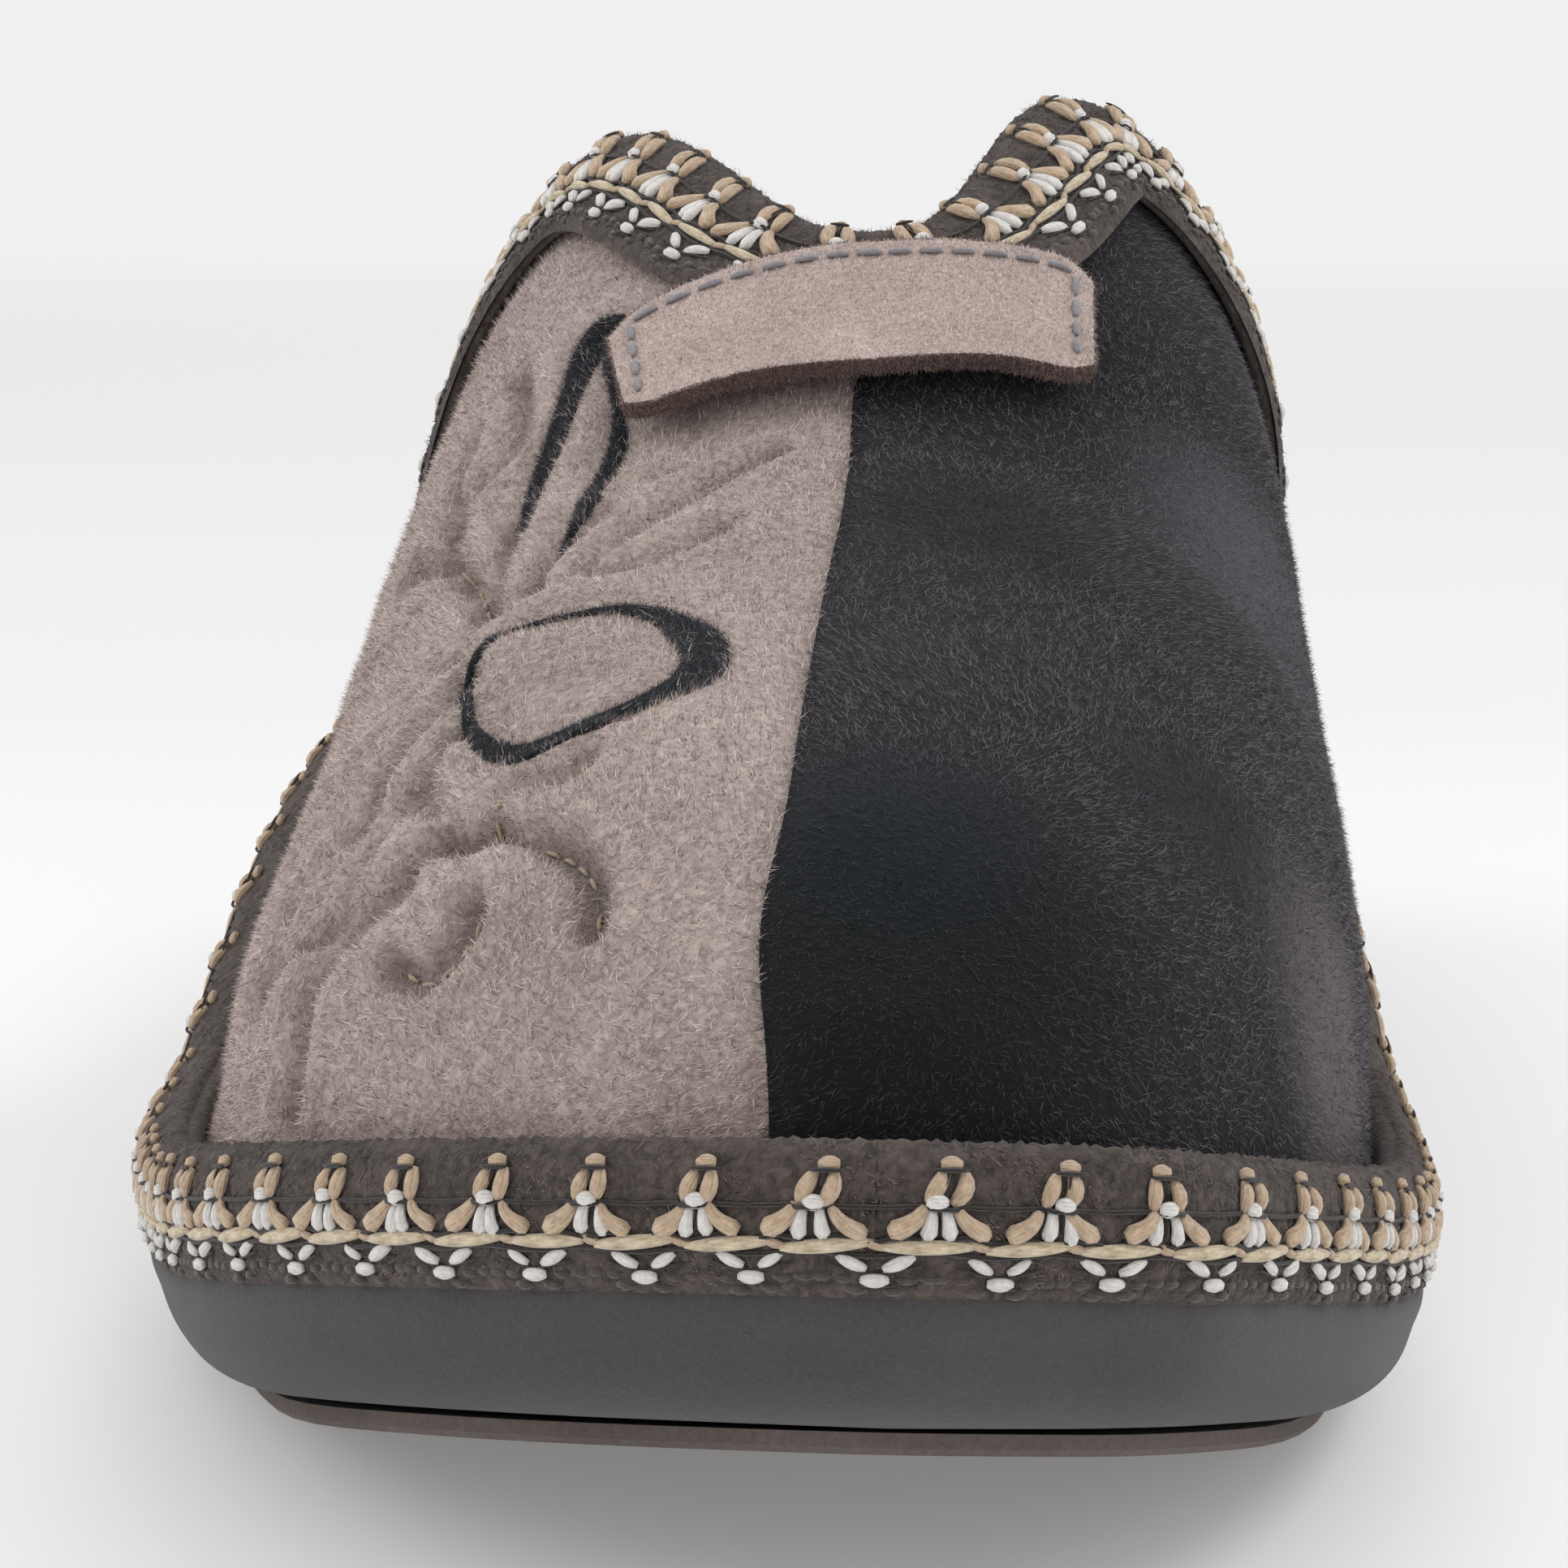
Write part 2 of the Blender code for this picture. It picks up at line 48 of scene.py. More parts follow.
camera = {"place": (0.0232, -0.394, 0.1105), "pitch": 10.0, "yaw": 4.0, "focal": 5140, "picture": 1932}

# Sizes and sections of the last, as the solids have them
last = {"length": 0.260, "ballWidth": 0.103, "toeSpring": 0.0185, "heelLift": 0.0295, "soleAtBall": 0.0125,
        "throatHeight": 0.063, "felt": 0.0032, "gap": 0.0003}
rim = {"height": 0.0097, "thickness": 0.0046, "overhang": 0.001, "pressed": 0.0011}
solePlan = [  # along, outer half width, inner half width
    (0.008, 0.010, 0.190), (0.023, 0.112, 0.272), (0.046, 0.212, 0.330), (0.077, 0.302, 0.377),
    (0.115, 0.380, 0.419), (0.173, 0.449, 0.464), (0.231, 0.487, 0.488), (0.308, 0.507, 0.496),
    (0.385, 0.511, 0.484), (0.462, 0.497, 0.460), (0.540, 0.472, 0.430), (0.635, 0.429, 0.391),
    (0.750, 0.384, 0.358), (0.846, 0.350, 0.336), (0.923, 0.292, 0.283), (0.969, 0.205, 0.200),
    (0.992, 0.110, 0.108)]
soleTips = {"toe": 0.097, "heel": -0.004}
soleProfile = [  # along, share of toe spring, share of heel lift
    (0.00, 1.00, 0.000), (0.08, 0.66, 0.000), (0.16, 0.34, 0.000), (0.24, 0.10, 0.000), (0.30, 0.00, 0.000),
    (0.37, 0.00, 0.035), (0.43, 0.00, 0.270), (0.48, 0.00, 0.510), (0.53, 0.00, 0.690), (0.60, 0.00, 0.850),
    (0.68, 0.00, 0.940), (0.80, 0.00, 0.985), (0.93, 0.00, 1.000), (1.00, 0.12, 1.000)]
vampSections = [  # along, height, ridge, outer square, inner square, inner bulge
    (0.000, 0.000, 0.095, 2.0, 2.0, 0.000), (0.008, 0.246, 0.082, 2.1, 2.1, 0.000),
    (0.023, 0.333, 0.062, 2.2, 2.2, 0.000), (0.060, 0.490, 0.042, 2.3, 2.3, 0.000),
    (0.135, 0.680, 0.035, 2.4, 2.4, 0.005), (0.210, 0.820, 0.033, 2.4, 2.5, 0.010),
    (0.290, 0.930, 0.032, 2.4, 2.6, 0.015), (0.365, 0.985, 0.031, 2.4, 2.7, 0.020),
    (0.442, 1.000, 0.030, 2.4, 2.8, 0.025), (0.500, 1.050, 0.030, 2.4, 2.9, 0.030),
    (0.558, 1.130, 0.030, 2.4, 2.9, 0.030), (0.640, 1.210, 0.030, 2.4, 2.9, 0.030)]
vampEdge = [  # around, along
    (0.00, 0.606), (0.12, 0.604), (0.25, 0.592), (0.34, 0.568), (0.41, 0.525), (0.455, 0.493), (0.50, 0.478),
    (0.545, 0.500), (0.59, 0.547), (0.66, 0.578), (0.78, 0.594), (0.90, 0.600), (1.00, 0.600)]
rimSection = [  # out and up from the ribbon's inner foot, as shares, from its crest down its outer side
    (0.30, 1.00), (0.58, 0.98), (0.84, 0.84), (0.97, 0.62), (1.00, 0.38), (0.98, 0.14),
    (0.95, -0.03), (0.955, -0.14), (0.97, -0.26)]


def smoothCurve(knots, values):  # natural cubic spline
    x, y = np.asarray(knots, float), np.asarray(values, float)
    h, n = np.diff(x), len(x)
    matrix, right = np.eye(n), np.zeros(n)
    for i in range(1, n - 1):
        matrix[i, i - 1:i + 2] = h[i - 1], 2 * (h[i - 1] + h[i]), h[i]
        right[i] = 6 * ((y[i + 1] - y[i]) / h[i] - (y[i] - y[i - 1]) / h[i - 1])
    bend = np.linalg.solve(matrix, right)

    def at(t):
        t = np.clip(np.asarray(t, float), x[0], x[-1])
        k = np.clip(np.searchsorted(x, t) - 1, 0, n - 2)
        before, after, step = t - x[k], x[k + 1] - t, h[k]
        arcs = (bend[k] * after ** 3 + bend[k + 1] * before ** 3) / (6 * step)
        left = (y[k] / step - bend[k] * step / 6) * after
        return arcs + left + (y[k + 1] / step - bend[k + 1] * step / 6) * before
    return at


def steadyCurve(knots, values):  # cubic that never passes its points
    x, y = np.asarray(knots, float), np.asarray(values, float)
    h = np.diff(x)
    rise = np.diff(y) / h
    slope = np.zeros(len(x))
    for i in range(1, len(x) - 1):
        if rise[i - 1] * rise[i] > 0:
            slope[i] = 2 * rise[i - 1] * rise[i] / (rise[i - 1] + rise[i])
    slope[0], slope[-1] = rise[0], rise[-1]

    def at(t):
        t = np.clip(np.asarray(t, float), x[0], x[-1])
        k = np.clip(np.searchsorted(x, t) - 1, 0, len(x) - 2)
        u = (t - x[k]) / h[k]
        ends = (1 + 2 * u) * (1 - u) ** 2 * y[k] + u * u * (3 - 2 * u) * y[k + 1]
        pulls = u * (1 - u) ** 2 * slope[k] - u * u * (1 - u) * slope[k + 1]
        return ends + pulls * h[k]
    return at


def column(rows, index):
    return [row[index] for row in rows]


def runAlong(points):  # distance along a line of points from its start
    return np.concatenate([[0], np.cumsum(np.linalg.norm(np.diff(points, axis=0), axis=1))])


def unit(vectors):
    return vectors / np.maximum(np.linalg.norm(vectors, axis=-1, keepdims=True), 1e-15)


def makeOutline():
    outer = [(np.arccos(1 - 2 * row[0]), -row[1]) for row in solePlan]
    inner = [(2 * np.pi - np.arccos(1 - 2 * row[0]), row[2]) for row in solePlan]
    once = [(0.0, soleTips["toe"]), *outer, (np.pi, soleTips["heel"]), *inner[::-1]]
    turns = [(a + turn, x) for turn in (-2 * np.pi, 0, 2 * np.pi) for a, x in once]
    return smoothCurve([a for a, _ in turns], [x * last["ballWidth"] for _, x in turns])


outlineX = makeOutline()


def outlinePoint(angle):
    return np.array([outlineX(angle), -last["length"] / 2 * np.cos(angle)])


def outlineNormal(angle):
    run = outlinePoint(angle + 1e-4) - outlinePoint(angle - 1e-4)
    run = run / np.linalg.norm(run, axis=0)
    return np.array([-run[1], run[0]])


manyAngles = np.linspace(0, 2 * np.pi, 4001)
rimPlan = outlinePoint(manyAngles) + rim["overhang"] * outlineNormal(manyAngles)
centre = (rimPlan.min(1) + rimPlan.max(1)) / 2
toeY = -last["length"] / 2
springShare = steadyCurve(column(soleProfile, 0), column(soleProfile, 1))
liftShare = steadyCurve(column(soleProfile, 0), column(soleProfile, 2))


def wedgeTop(y):
    along = np.clip((y - toeY) / last["length"], 0, 1)
    return last["soleAtBall"] + last["toeSpring"] * springShare(along) + last["heelLift"] * liftShare(along)


def ease(value, low, high):
    t = np.clip((value - low) / (high - low), 0, 1)
    return t * t * (3 - 2 * t)


stance = {"out": 0.004, "from": (-0.080, -0.042), "to": (0.030, 0.085), "falls": (0.005, 0.013)}


def spread(points):  # worn sole and felt foot lean out a little along the outer arch
    points = np.asarray(points, float)
    x, y, z = points[..., 0], points[..., 1], points[..., 2]
    along = ease(y, *stance["from"]) * (1 - ease(y, *stance["to"]))
    high = z - wedgeTop(y + centre[1])
    out = stance["out"] * along * np.clip(-x / 0.025, 0, 1) * (1 - ease(high, *stance["falls"]))
    return np.stack([x - out, y, z], -1)


# Ribbon round the sole: distance round it, distance down from its crest, height over its surface
rimRun = runAlong(outlinePoint(manyAngles).T)
sectionShape = np.array([(o * rim["thickness"], u * rim["height"]) for o, u in rimSection])
sectionRun = runAlong(sectionShape)
sectionOut = smoothCurve(sectionRun, sectionShape[:, 0])
sectionUp = smoothCurve(sectionRun, sectionShape[:, 1])


def settle(up):  # the ribbon's top is pressed down a little by wear
    return up - rim["pressed"] * np.clip((up - 0.002) / (rim["height"] - 0.002), 0, 1)


def rimPoint(around, down, lift):
    angle = np.interp(np.mod(around, rimRun[-1]), rimRun, manyAngles)
    base, normal = outlinePoint(angle), outlineNormal(angle)
    step = 0.05 * mm
    dOut = (sectionOut(down + step) - sectionOut(down - step)) / (2 * step)
    dUp = (sectionUp(down + step) - sectionUp(down - step)) / (2 * step)
    long = np.maximum(np.hypot(dOut, dUp), 1e-6)
    out = rim["overhang"] - rim["thickness"] + sectionOut(down) - lift * dUp / long
    up = settle(sectionUp(down) + lift * dOut / long)
    x, y = base + out * normal
    return spread(np.stack([x - centre[0], y - centre[1], wedgeTop(base[1]) + last["gap"] + up], -1))


# Vamp: depth behind its toe, and around from 0 at the outer foot over the ridge to 1 at the inner foot
vampBaseOut = rim["overhang"] - rim["thickness"] - last["gap"]
vampPlan = outlinePoint(manyAngles) + vampBaseOut * outlineNormal(manyAngles)
vampToe = vampPlan[1].min()
sectionRoots = np.sqrt(column(vampSections, 0))
sectionNames = ("height", "ridge", "outerSquare", "innerSquare", "innerBulge")
sectionCurves = {name: smoothCurve(sectionRoots, column(vampSections, i))
                 for i, name in enumerate(sectionNames, 1)}
edgeAlong = smoothCurve(column(vampEdge, 0), column(vampEdge, 1))


def footLine(plan):
    tip = int(np.argmin(plan[1]))
    run = plan[:, tip:]
    root = np.sqrt(np.maximum(run[1] - vampToe, 0))
    keep = np.concatenate([[True], np.diff(np.maximum.accumulate(root)) > 0])

    def at(depth):
        return np.interp(np.sqrt(np.maximum(depth, 0)), root[keep], run[0][keep])
    return at


heelIndex = len(manyAngles) // 2
outerLine = footLine(vampPlan[:, :heelIndex])
innerLine = footLine(vampPlan[:, :heelIndex:-1])


def vampPoint(depth, around):
    depth, around = np.broadcast_arrays(np.asarray(depth, float), np.asarray(around, float))
    root = np.sqrt(np.maximum(depth, 0) / last["length"])
    value = {name: curve(root) for name, curve in sectionCurves.items()}
    height = np.maximum(value["height"], 0) * last["throatHeight"]
    ridge = value["ridge"] * last["ballWidth"]
    outer = around < 0.5
    foot = np.where(outer, outerLine(depth), innerLine(depth))
    square = np.where(outer, value["outerSquare"], value["innerSquare"])
    turn = np.pi * np.where(outer, around, 1 - around)
    side = np.maximum(np.cos(turn), 0) ** (2 / square)
    up = height * np.maximum(np.sin(turn), 0) ** (2 / square)
    aboveRim = np.clip((up - rim["height"]) / np.maximum(height - rim["height"], 1e-6), 0, 1)
    puff = np.where(outer, 0, value["innerBulge"]) * last["ballWidth"] * np.sin(np.pi * aboveRim) ** 2
    y = vampToe + depth
    x = ridge + (foot - ridge) * side + puff
    return spread(np.stack([x - centre[0], y - centre[1], wedgeTop(y) + last["gap"] + up], -1))


def vampReach(around):
    return edgeAlong(around) * last["length"] - (vampToe - toeY)


def vampSlopes(depth, around):
    low, high = np.maximum(around - 0.002, 0), np.minimum(around + 0.002, 1)
    byDepth = (vampPoint(depth + 0.2 * mm, around) - vampPoint(depth - 0.2 * mm, around)) / (0.4 * mm)
    byAround = (vampPoint(depth, high) - vampPoint(depth, low)) / (high - low)[..., None]
    return byDepth, byAround, unit(np.cross(byAround, byDepth))


# Meshes from rows of points
def deselectAll():
    if bpy.context.object and bpy.context.object.mode != "OBJECT":
        bpy.ops.object.mode_set(mode="OBJECT")
    bpy.ops.object.select_all(action="DESELECT")


def makePiece(name, points, faces, uv=None):
    mesh = bpy.data.meshes.new(name)
    points, faces = np.asarray(points, np.float32), np.asarray(faces, np.int32)
    corners = faces.shape[1]
    mesh.vertices.add(len(points))
    mesh.vertices.foreach_set("co", points.ravel())
    mesh.loops.add(faces.size)
    mesh.loops.foreach_set("vertex_index", faces.ravel())
    mesh.polygons.add(len(faces))
    mesh.polygons.foreach_set("loop_start", np.arange(len(faces), dtype=np.int32) * corners)
    mesh.update(calc_edges=True)
    if uv is not None:
        layer = mesh.uv_layers.new(name="UVMap")
        layer.data.foreach_set("uv", np.asarray(uv, np.float32)[faces.ravel()].ravel())
    piece = bpy.data.objects.new(name, mesh)
    bpy.context.scene.collection.objects.link(piece)
    return piece


def finishPiece(piece, material, node=None, smooth=True):
    piece.data.materials.clear()
    piece.data.materials.append(material)
    if smooth:
        piece.data.shade_smooth()
    if node:
        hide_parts(node)
    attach(piece, "root")


def gridFaces(rows, columns):
    i, j = np.meshgrid(np.arange(rows - 1), np.arange(columns - 1), indexing="ij")
    first = i * columns + j
    return np.stack([first, first + 1, first + columns + 1, first + columns], -1).reshape(-1, 4)


def turnTowards(piece, spot):  # an open sheet is turned so that its middle face looks at a place
    middle = piece.data.polygons[len(piece.data.polygons) // 2]
    if middle.normal @ (spot - middle.center) >= 0:
        return False
    piece.data.flip_normals()
    return True


def cleanUp(piece, turnOut=True):  # doubles merged and normals turned out, in edit mode
    deselectAll()
    piece.select_set(True)
    bpy.context.view_layer.objects.active = piece
    bpy.ops.object.mode_set(mode="EDIT")
    bpy.ops.mesh.select_all(action="SELECT")
    bpy.ops.mesh.remove_doubles(threshold=0.00001)
    if turnOut:
        bpy.ops.mesh.normals_make_consistent(inside=False)
    bpy.ops.object.mode_set(mode="OBJECT")


def applyModifiers(piece):
    deselectAll()
    piece.select_set(True)
    bpy.context.view_layer.objects.active = piece
    for modifier in list(piece.modifiers):
        bpy.ops.object.modifier_apply(modifier=modifier.name)


def copyOfNode(name, node, levels):  # merged, quads where they fit, subdivided
    piece = nodes[node].copy()
    piece.data = nodes[node].data.copy()
    piece.name = name
    piece.parent = None
    bpy.context.scene.collection.objects.link(piece)
    cleanUp(piece)
    bpy.ops.object.mode_set(mode="EDIT")
    bpy.ops.mesh.select_all(action="SELECT")
    bpy.ops.mesh.tris_convert_to_quads(face_threshold=0.7, shape_threshold=0.7)
    bpy.ops.object.mode_set(mode="OBJECT")
    if levels:
        divide = piece.modifiers.new("divide", "SUBSURF")
        divide.levels = divide.render_levels = levels
        applyModifiers(piece)
    spots = np.empty(len(piece.data.vertices) * 3, np.float32)
    piece.data.vertices.foreach_get("co", spots)
    piece.data.vertices.foreach_set("co", spread(spots.reshape(-1, 3)).ravel().astype(np.float32))
    return piece


# Materials: one nap group serves every cloth
def srgb(red, green, blue):
    shares = [c / 255 for c in (red, green, blue)]
    return (*(s / 12.92 if s < 0.04 else ((s + 0.055) / 1.055) ** 2.4 for s in shares), 1.0)


def addNode(tree, kind, inputs=None):
    node = tree.nodes.new("ShaderNode" + kind)
    for name, value in (inputs or {}).items():
        node.inputs[name].default_value = value
    return node


def linkUp(tree, *rows):
    for node, output, other, socket in rows:
        tree.links.new(node.outputs[output], other.inputs[socket])


def addMix(tree, factor, first=None, second=None):  # two colours, each set here or linked later
    mix = tree.nodes.new("ShaderNodeMix")
    mix.data_type = "RGBA"
    tree.links.new(factor, mix.inputs["Factor"])
    for name, colour in (("A", first), ("B", second)):
        if colour:
            mix.inputs[name].default_value = srgb(*colour)
    return mix


def newMaterial(name, roughness, shine, sheen=0.0):
    material = bpy.data.materials.new(name)
    material.use_nodes = True
    shader = material.node_tree.nodes["Principled BSDF"]
    shader.inputs["Roughness"].default_value = roughness
    shader.inputs["Specular IOR Level"].default_value = shine
    shader.inputs["Sheen Weight"].default_value = sheen
    return material, material.node_tree, shader


def makeNapGroup():
    group = bpy.data.node_groups.new("clothNap", "ShaderNodeTree")
    colour, value = "NodeSocketColor", "NodeSocketFloat"
    for name, kind, usual in (
            ("Light", colour, (0.8, 0.8, 0.8, 1)), ("Deep", colour, (0.2, 0.2, 0.2, 1)),
            ("Fibre Scale", value, 900.0), ("Mottle Scale", value, 60.0), ("Mottle", value, 0.3)):
        group.interface.new_socket(name, in_out="INPUT", socket_type=kind).default_value = usual
    group.interface.new_socket("Color", in_out="OUTPUT", socket_type=colour)
    group.interface.new_socket("Height", in_out="OUTPUT", socket_type=value)
    enter, leave = group.nodes.new("NodeGroupInput"), group.nodes.new("NodeGroupOutput")
    place = addNode(group, "TexCoord")
    fibre = addNode(group, "TexNoise", {"Detail": 5, "Roughness": 0.65, "Distortion": 0.8})
    patches = addNode(group, "TexNoise", {"Detail": 3})
    fibreShare = addNode(group, "MapRange", {"From Min": 0.3, "From Max": 0.7})
    patchShare = addNode(group, "MapRange", {"From Min": 0.3, "From Max": 0.7})
    blend = addNode(group, "Mix")
    mix = addMix(group, blend.outputs["Result"])
    linkUp(group, (place, "Object", fibre, "Vector"), (place, "Object", patches, "Vector"),
           (enter, "Fibre Scale", fibre, "Scale"), (enter, "Mottle Scale", patches, "Scale"),
           (fibre, "Fac", fibreShare, "Value"), (patches, "Fac", patchShare, "Value"),
           (enter, "Mottle", blend, "Factor"), (fibreShare, "Result", blend, "A"),
           (patchShare, "Result", blend, "B"), (enter, "Deep", mix, "A"),
           (enter, "Light", mix, "B"), (mix, "Result", leave, "Color"),
           (fibre, "Fac", leave, "Height"))
    return group


napGroup = makeNapGroup()


def clothMaterial(name, light, deep, fibre, patch, mottle, bump, distance, sheen):
    material, tree, shader = newMaterial(name, 0.95, 0.2, sheen)
    shader.inputs["Sheen Roughness"].default_value = 0.5
    nap = tree.nodes.new("ShaderNodeGroup")
    nap.node_tree = napGroup
    nap.inputs["Light"].default_value = srgb(*light)
    nap.inputs["Deep"].default_value = srgb(*deep)
    nap.inputs["Fibre Scale"].default_value = fibre
    nap.inputs["Mottle Scale"].default_value = patch
    nap.inputs["Mottle"].default_value = mottle
    lump = addNode(tree, "Bump", {"Strength": bump, "Distance": distance * mm})
    linkUp(tree, (nap, "Color", shader, "Base Color"), (nap, "Height", lump, "Height"),
           (lump, "Normal", shader, "Normal"))
    return material


def yarnMaterial(name, light, deep, twist=5.0):  # plies wind round the strand's own UV map
    material, tree, shader = newMaterial(name, 0.85, 0.25, 0.3)
    strand, place = addNode(tree, "UVMap"), addNode(tree, "TexCoord")
    strand.uv_map = "UVMap"
    wind = addNode(tree, "Mapping", {"Scale": (0.45, twist, 1), "Rotation": (0, 0, 0.12)})
    plies = addNode(tree, "TexNoise", {"Scale": 1.6, "Detail": 3})
    fuzz = addNode(tree, "TexNoise", {"Scale": 2600, "Detail": 3})
    blend = addNode(tree, "Mix", {"Factor": 0.3})
    contrast = addNode(tree, "MapRange", {"From Min": 0.32, "From Max": 0.62})
    lump = addNode(tree, "Bump", {"Strength": 0.7, "Distance": 0.15 * mm})
    mix = addMix(tree, contrast.outputs["Result"], deep, light)
    linkUp(tree, (strand, "UV", wind, "Vector"), (wind, "Vector", plies, "Vector"),
           (place, "Object", fuzz, "Vector"), (plies, "Fac", blend, "A"),
           (fuzz, "Fac", blend, "B"), (blend, "Result", contrast, "Value"),
           (contrast, "Result", lump, "Height"), (mix, "Result", shader, "Base Color"),
           (lump, "Normal", shader, "Normal"))
    return material


def fibreMaterial(name, light, deep):  # each fibre has its own shade, read from its UV map
    material, tree, shader = newMaterial(name, 1.0, 0.1, 0.2)
    strand, part = addNode(tree, "UVMap"), addNode(tree, "SeparateXYZ")
    strand.uv_map = "UVMap"
    mix = addMix(tree, part.outputs["X"], deep, light)
    linkUp(tree, (strand, "UV", part, "Vector"), (mix, "Result", shader, "Base Color"))
    return material


def tint(material, factor, colour):  # lays a colour over the material's own
    tree = material.node_tree
    base = tree.nodes["Principled BSDF"].inputs["Base Color"]
    before = base.links[0].from_socket
    mix = addMix(tree, factor, second=colour)
    tree.links.new(before, mix.inputs["A"])
    tree.links.new(mix.outputs["Result"], base)


# Colours in the light and deep down, fibre and patch scale, patches, relief, its depth in mm, sheen
cloths = {
    "lightFelt": clothMaterial("light_felt", (208, 191, 184), (124, 110, 104), 1300, 70, 0.25, 0.9, 0.5, 0.12),
    "darkFelt": clothMaterial("dark_felt", (40, 38, 42), (12, 11, 14), 1100, 45, 0.4, 0.9, 0.5, 0.04),
    "flock": clothMaterial("black_flock", (40, 44, 49), (14, 16, 18), 1600, 90, 0.2, 0.8, 0.3, 0.05),
    "soleCover": clothMaterial("sole_cover", (82, 79, 80), (54, 53, 54), 2600, 30, 0.5, 0.5, 0.18, 0.15),
    "outsole": clothMaterial("outsole_sheet", (108, 98, 94), (78, 70, 66), 1500, 50, 0.4, 0.4, 0.12, 0.05),
    "ribbon": clothMaterial("ribbon_ground", (106, 96, 91), (40, 34, 31), 1000, 150, 0.25, 1.0, 0.6, 0.12),
    "insole": clothMaterial("insole_felt", (150, 138, 132), (112, 101, 95), 1000, 60, 0.35, 0.6, 0.3, 0.12),
    "suede": clothMaterial("suede", (236, 216, 209), (158, 140, 134), 2500, 120, 0.3, 1.0, 0.4, 0.15),
    "suedeEdge": clothMaterial("suede_edge", (122, 102, 98), (74, 60, 56), 1500, 120, 0.3, 0.8, 0.3, 0.05)}
yarns = {
    "tan": yarnMaterial("tan_yarn", (208, 184, 158), (152, 128, 104)),
    "white": yarnMaterial("white_yarn", (236, 233, 229), (190, 184, 179)),
    "ecru": yarnMaterial("ecru_yarn", (218, 203, 176), (158, 140, 114), 3.0),
    "dark": yarnMaterial("dark_thread", (48, 40, 38), (26, 21, 20)),
    "ground": yarnMaterial("ground_yarn", (88, 78, 74), (48, 41, 38)),
    "seamTan": yarnMaterial("quilting_thread", (208, 188, 160), (150, 130, 104)),
    "tabThread": yarnMaterial("tab_thread", (160, 156, 160), (112, 109, 115))}
print("materials made")


# Camera rays, so that what is seen in the picture lands on the felt
pitch, yaw = math.radians(camera["pitch"]), math.radians(camera["yaw"])
eye = np.array(camera["place"])
forward = np.array([-math.sin(yaw) * math.cos(pitch), math.cos(yaw) * math.cos(pitch), -math.sin(pitch)])
rightward = np.array([math.cos(yaw), math.sin(yaw), 0.0])
upward = np.cross(rightward, forward)


def lands(tree, x, y):  # point and normal on a surface under one spot of the 1932-pixel picture
    middle = camera["picture"] / 2
    way = forward + (x - middle) / camera["focal"] * rightward - (y - middle) / camera["focal"] * upward
    spot, normal, _, _ = tree.ray_cast(Vector(eye), Vector(way))
    return (None, None) if spot is None else (np.array(spot), np.array(normal))


def alongLine(points, step):  # evenly spaced places on a smooth line through picture points, with any widths
    points = np.asarray(points, float)
    run = runAlong(points[:, :2])
    curves = [smoothCurve(run, points[:, k]) for k in range(points.shape[1])]
    places = np.linspace(0, run[-1], max(2, int(run[-1] / step) + 1))
    return np.stack([curve(places) for curve in curves], -1)


# Quilting on the light half: each trough's depth and width, if its thread shows, and its line in the picture
quilting = [
    (0.9, 1.6, True, [(489, 863), (523, 839), (561, 815), (585, 791), (595, 763), (592, 739), (580, 715),
                      (559, 703), (532, 708), (504, 712)]),
    (0.8, 1.8, False, [(642, 470), (645, 524), (628, 567), (585, 614), (566, 648), (561, 690)]),
    (0.6, 1.5, False, [(600, 520), (580, 560), (566, 595), (561, 648)]),
    (0.9, 1.5, False, [(645, 650), (628, 686), (616, 734), (606, 777)]),
    (0.7, 1.4, False, [(700, 670), (685, 691), (657, 729), (628, 768)]),
    (0.7, 1.4, True, [(824, 591), (767, 610), (728, 658), (671, 715), (633, 758)]),
    (0.8, 1.5, True, [(953, 557), (896, 586), (853, 614), (815, 638), (767, 667), (719, 705), (671, 739)]),
    (0.7, 1.5, True, [(891, 648), (848, 672), (781, 703), (728, 715)]),
    (0.7, 1.7, False, [(537, 744), (504, 777), (475, 811), (451, 835)]),
    (0.9, 1.8, True, [(566, 820), (518, 863), (475, 906), (437, 949), (412, 988)]),
    (0.9, 1.9, False, [(571, 839), (537, 892), (489, 949), (441, 1016), (394, 1074), (365, 1117)]),
    (0.7, 1.6, False, [(556, 911), (532, 954), (537, 1002), (556, 1031)]),
    (0.8, 1.5, True, [(556, 1031), (580, 1037), (604, 1028), (657, 1033), (695, 1047), (721, 1074),
                      (728, 1112), (724, 1140)]),
    (0.7, 1.6, True, [(719, 930), (709, 945), (647, 969), (614, 997), (602, 1026)]),
    (0.8, 1.6, True, [(580, 1119), (570, 1148), (546, 1181), (508, 1207), (484, 1191)]),
    (0.9, 2.2, False, [(594, 1043), (537, 1057), (489, 1105), (431, 1153), (384, 1215), (369, 1287),
                       (355, 1382)]),
    (0.7, 2.0, False, [(517, 1057), (455, 1110), (398, 1148), (345, 1205), (321, 1263)]),
    (0.7, 2.0, False, [(508, 976), (446, 1081), (384, 1148), (336, 1205), (302, 1277)]),
    (0.7, 1.8, False, [(527, 899), (470, 995), (407, 1091), (360, 1148), (317, 1225)]),
    (0.6, 1.8, False, [(415, 960), (369, 1057), (326, 1148)])]
seamInPicture = [(945, 1400), (940, 1300), (933, 1200), (940, 1100), (965, 1000), (982, 900), (1000, 800),
                 (1020, 700), (1042, 600), (1049, 510)]
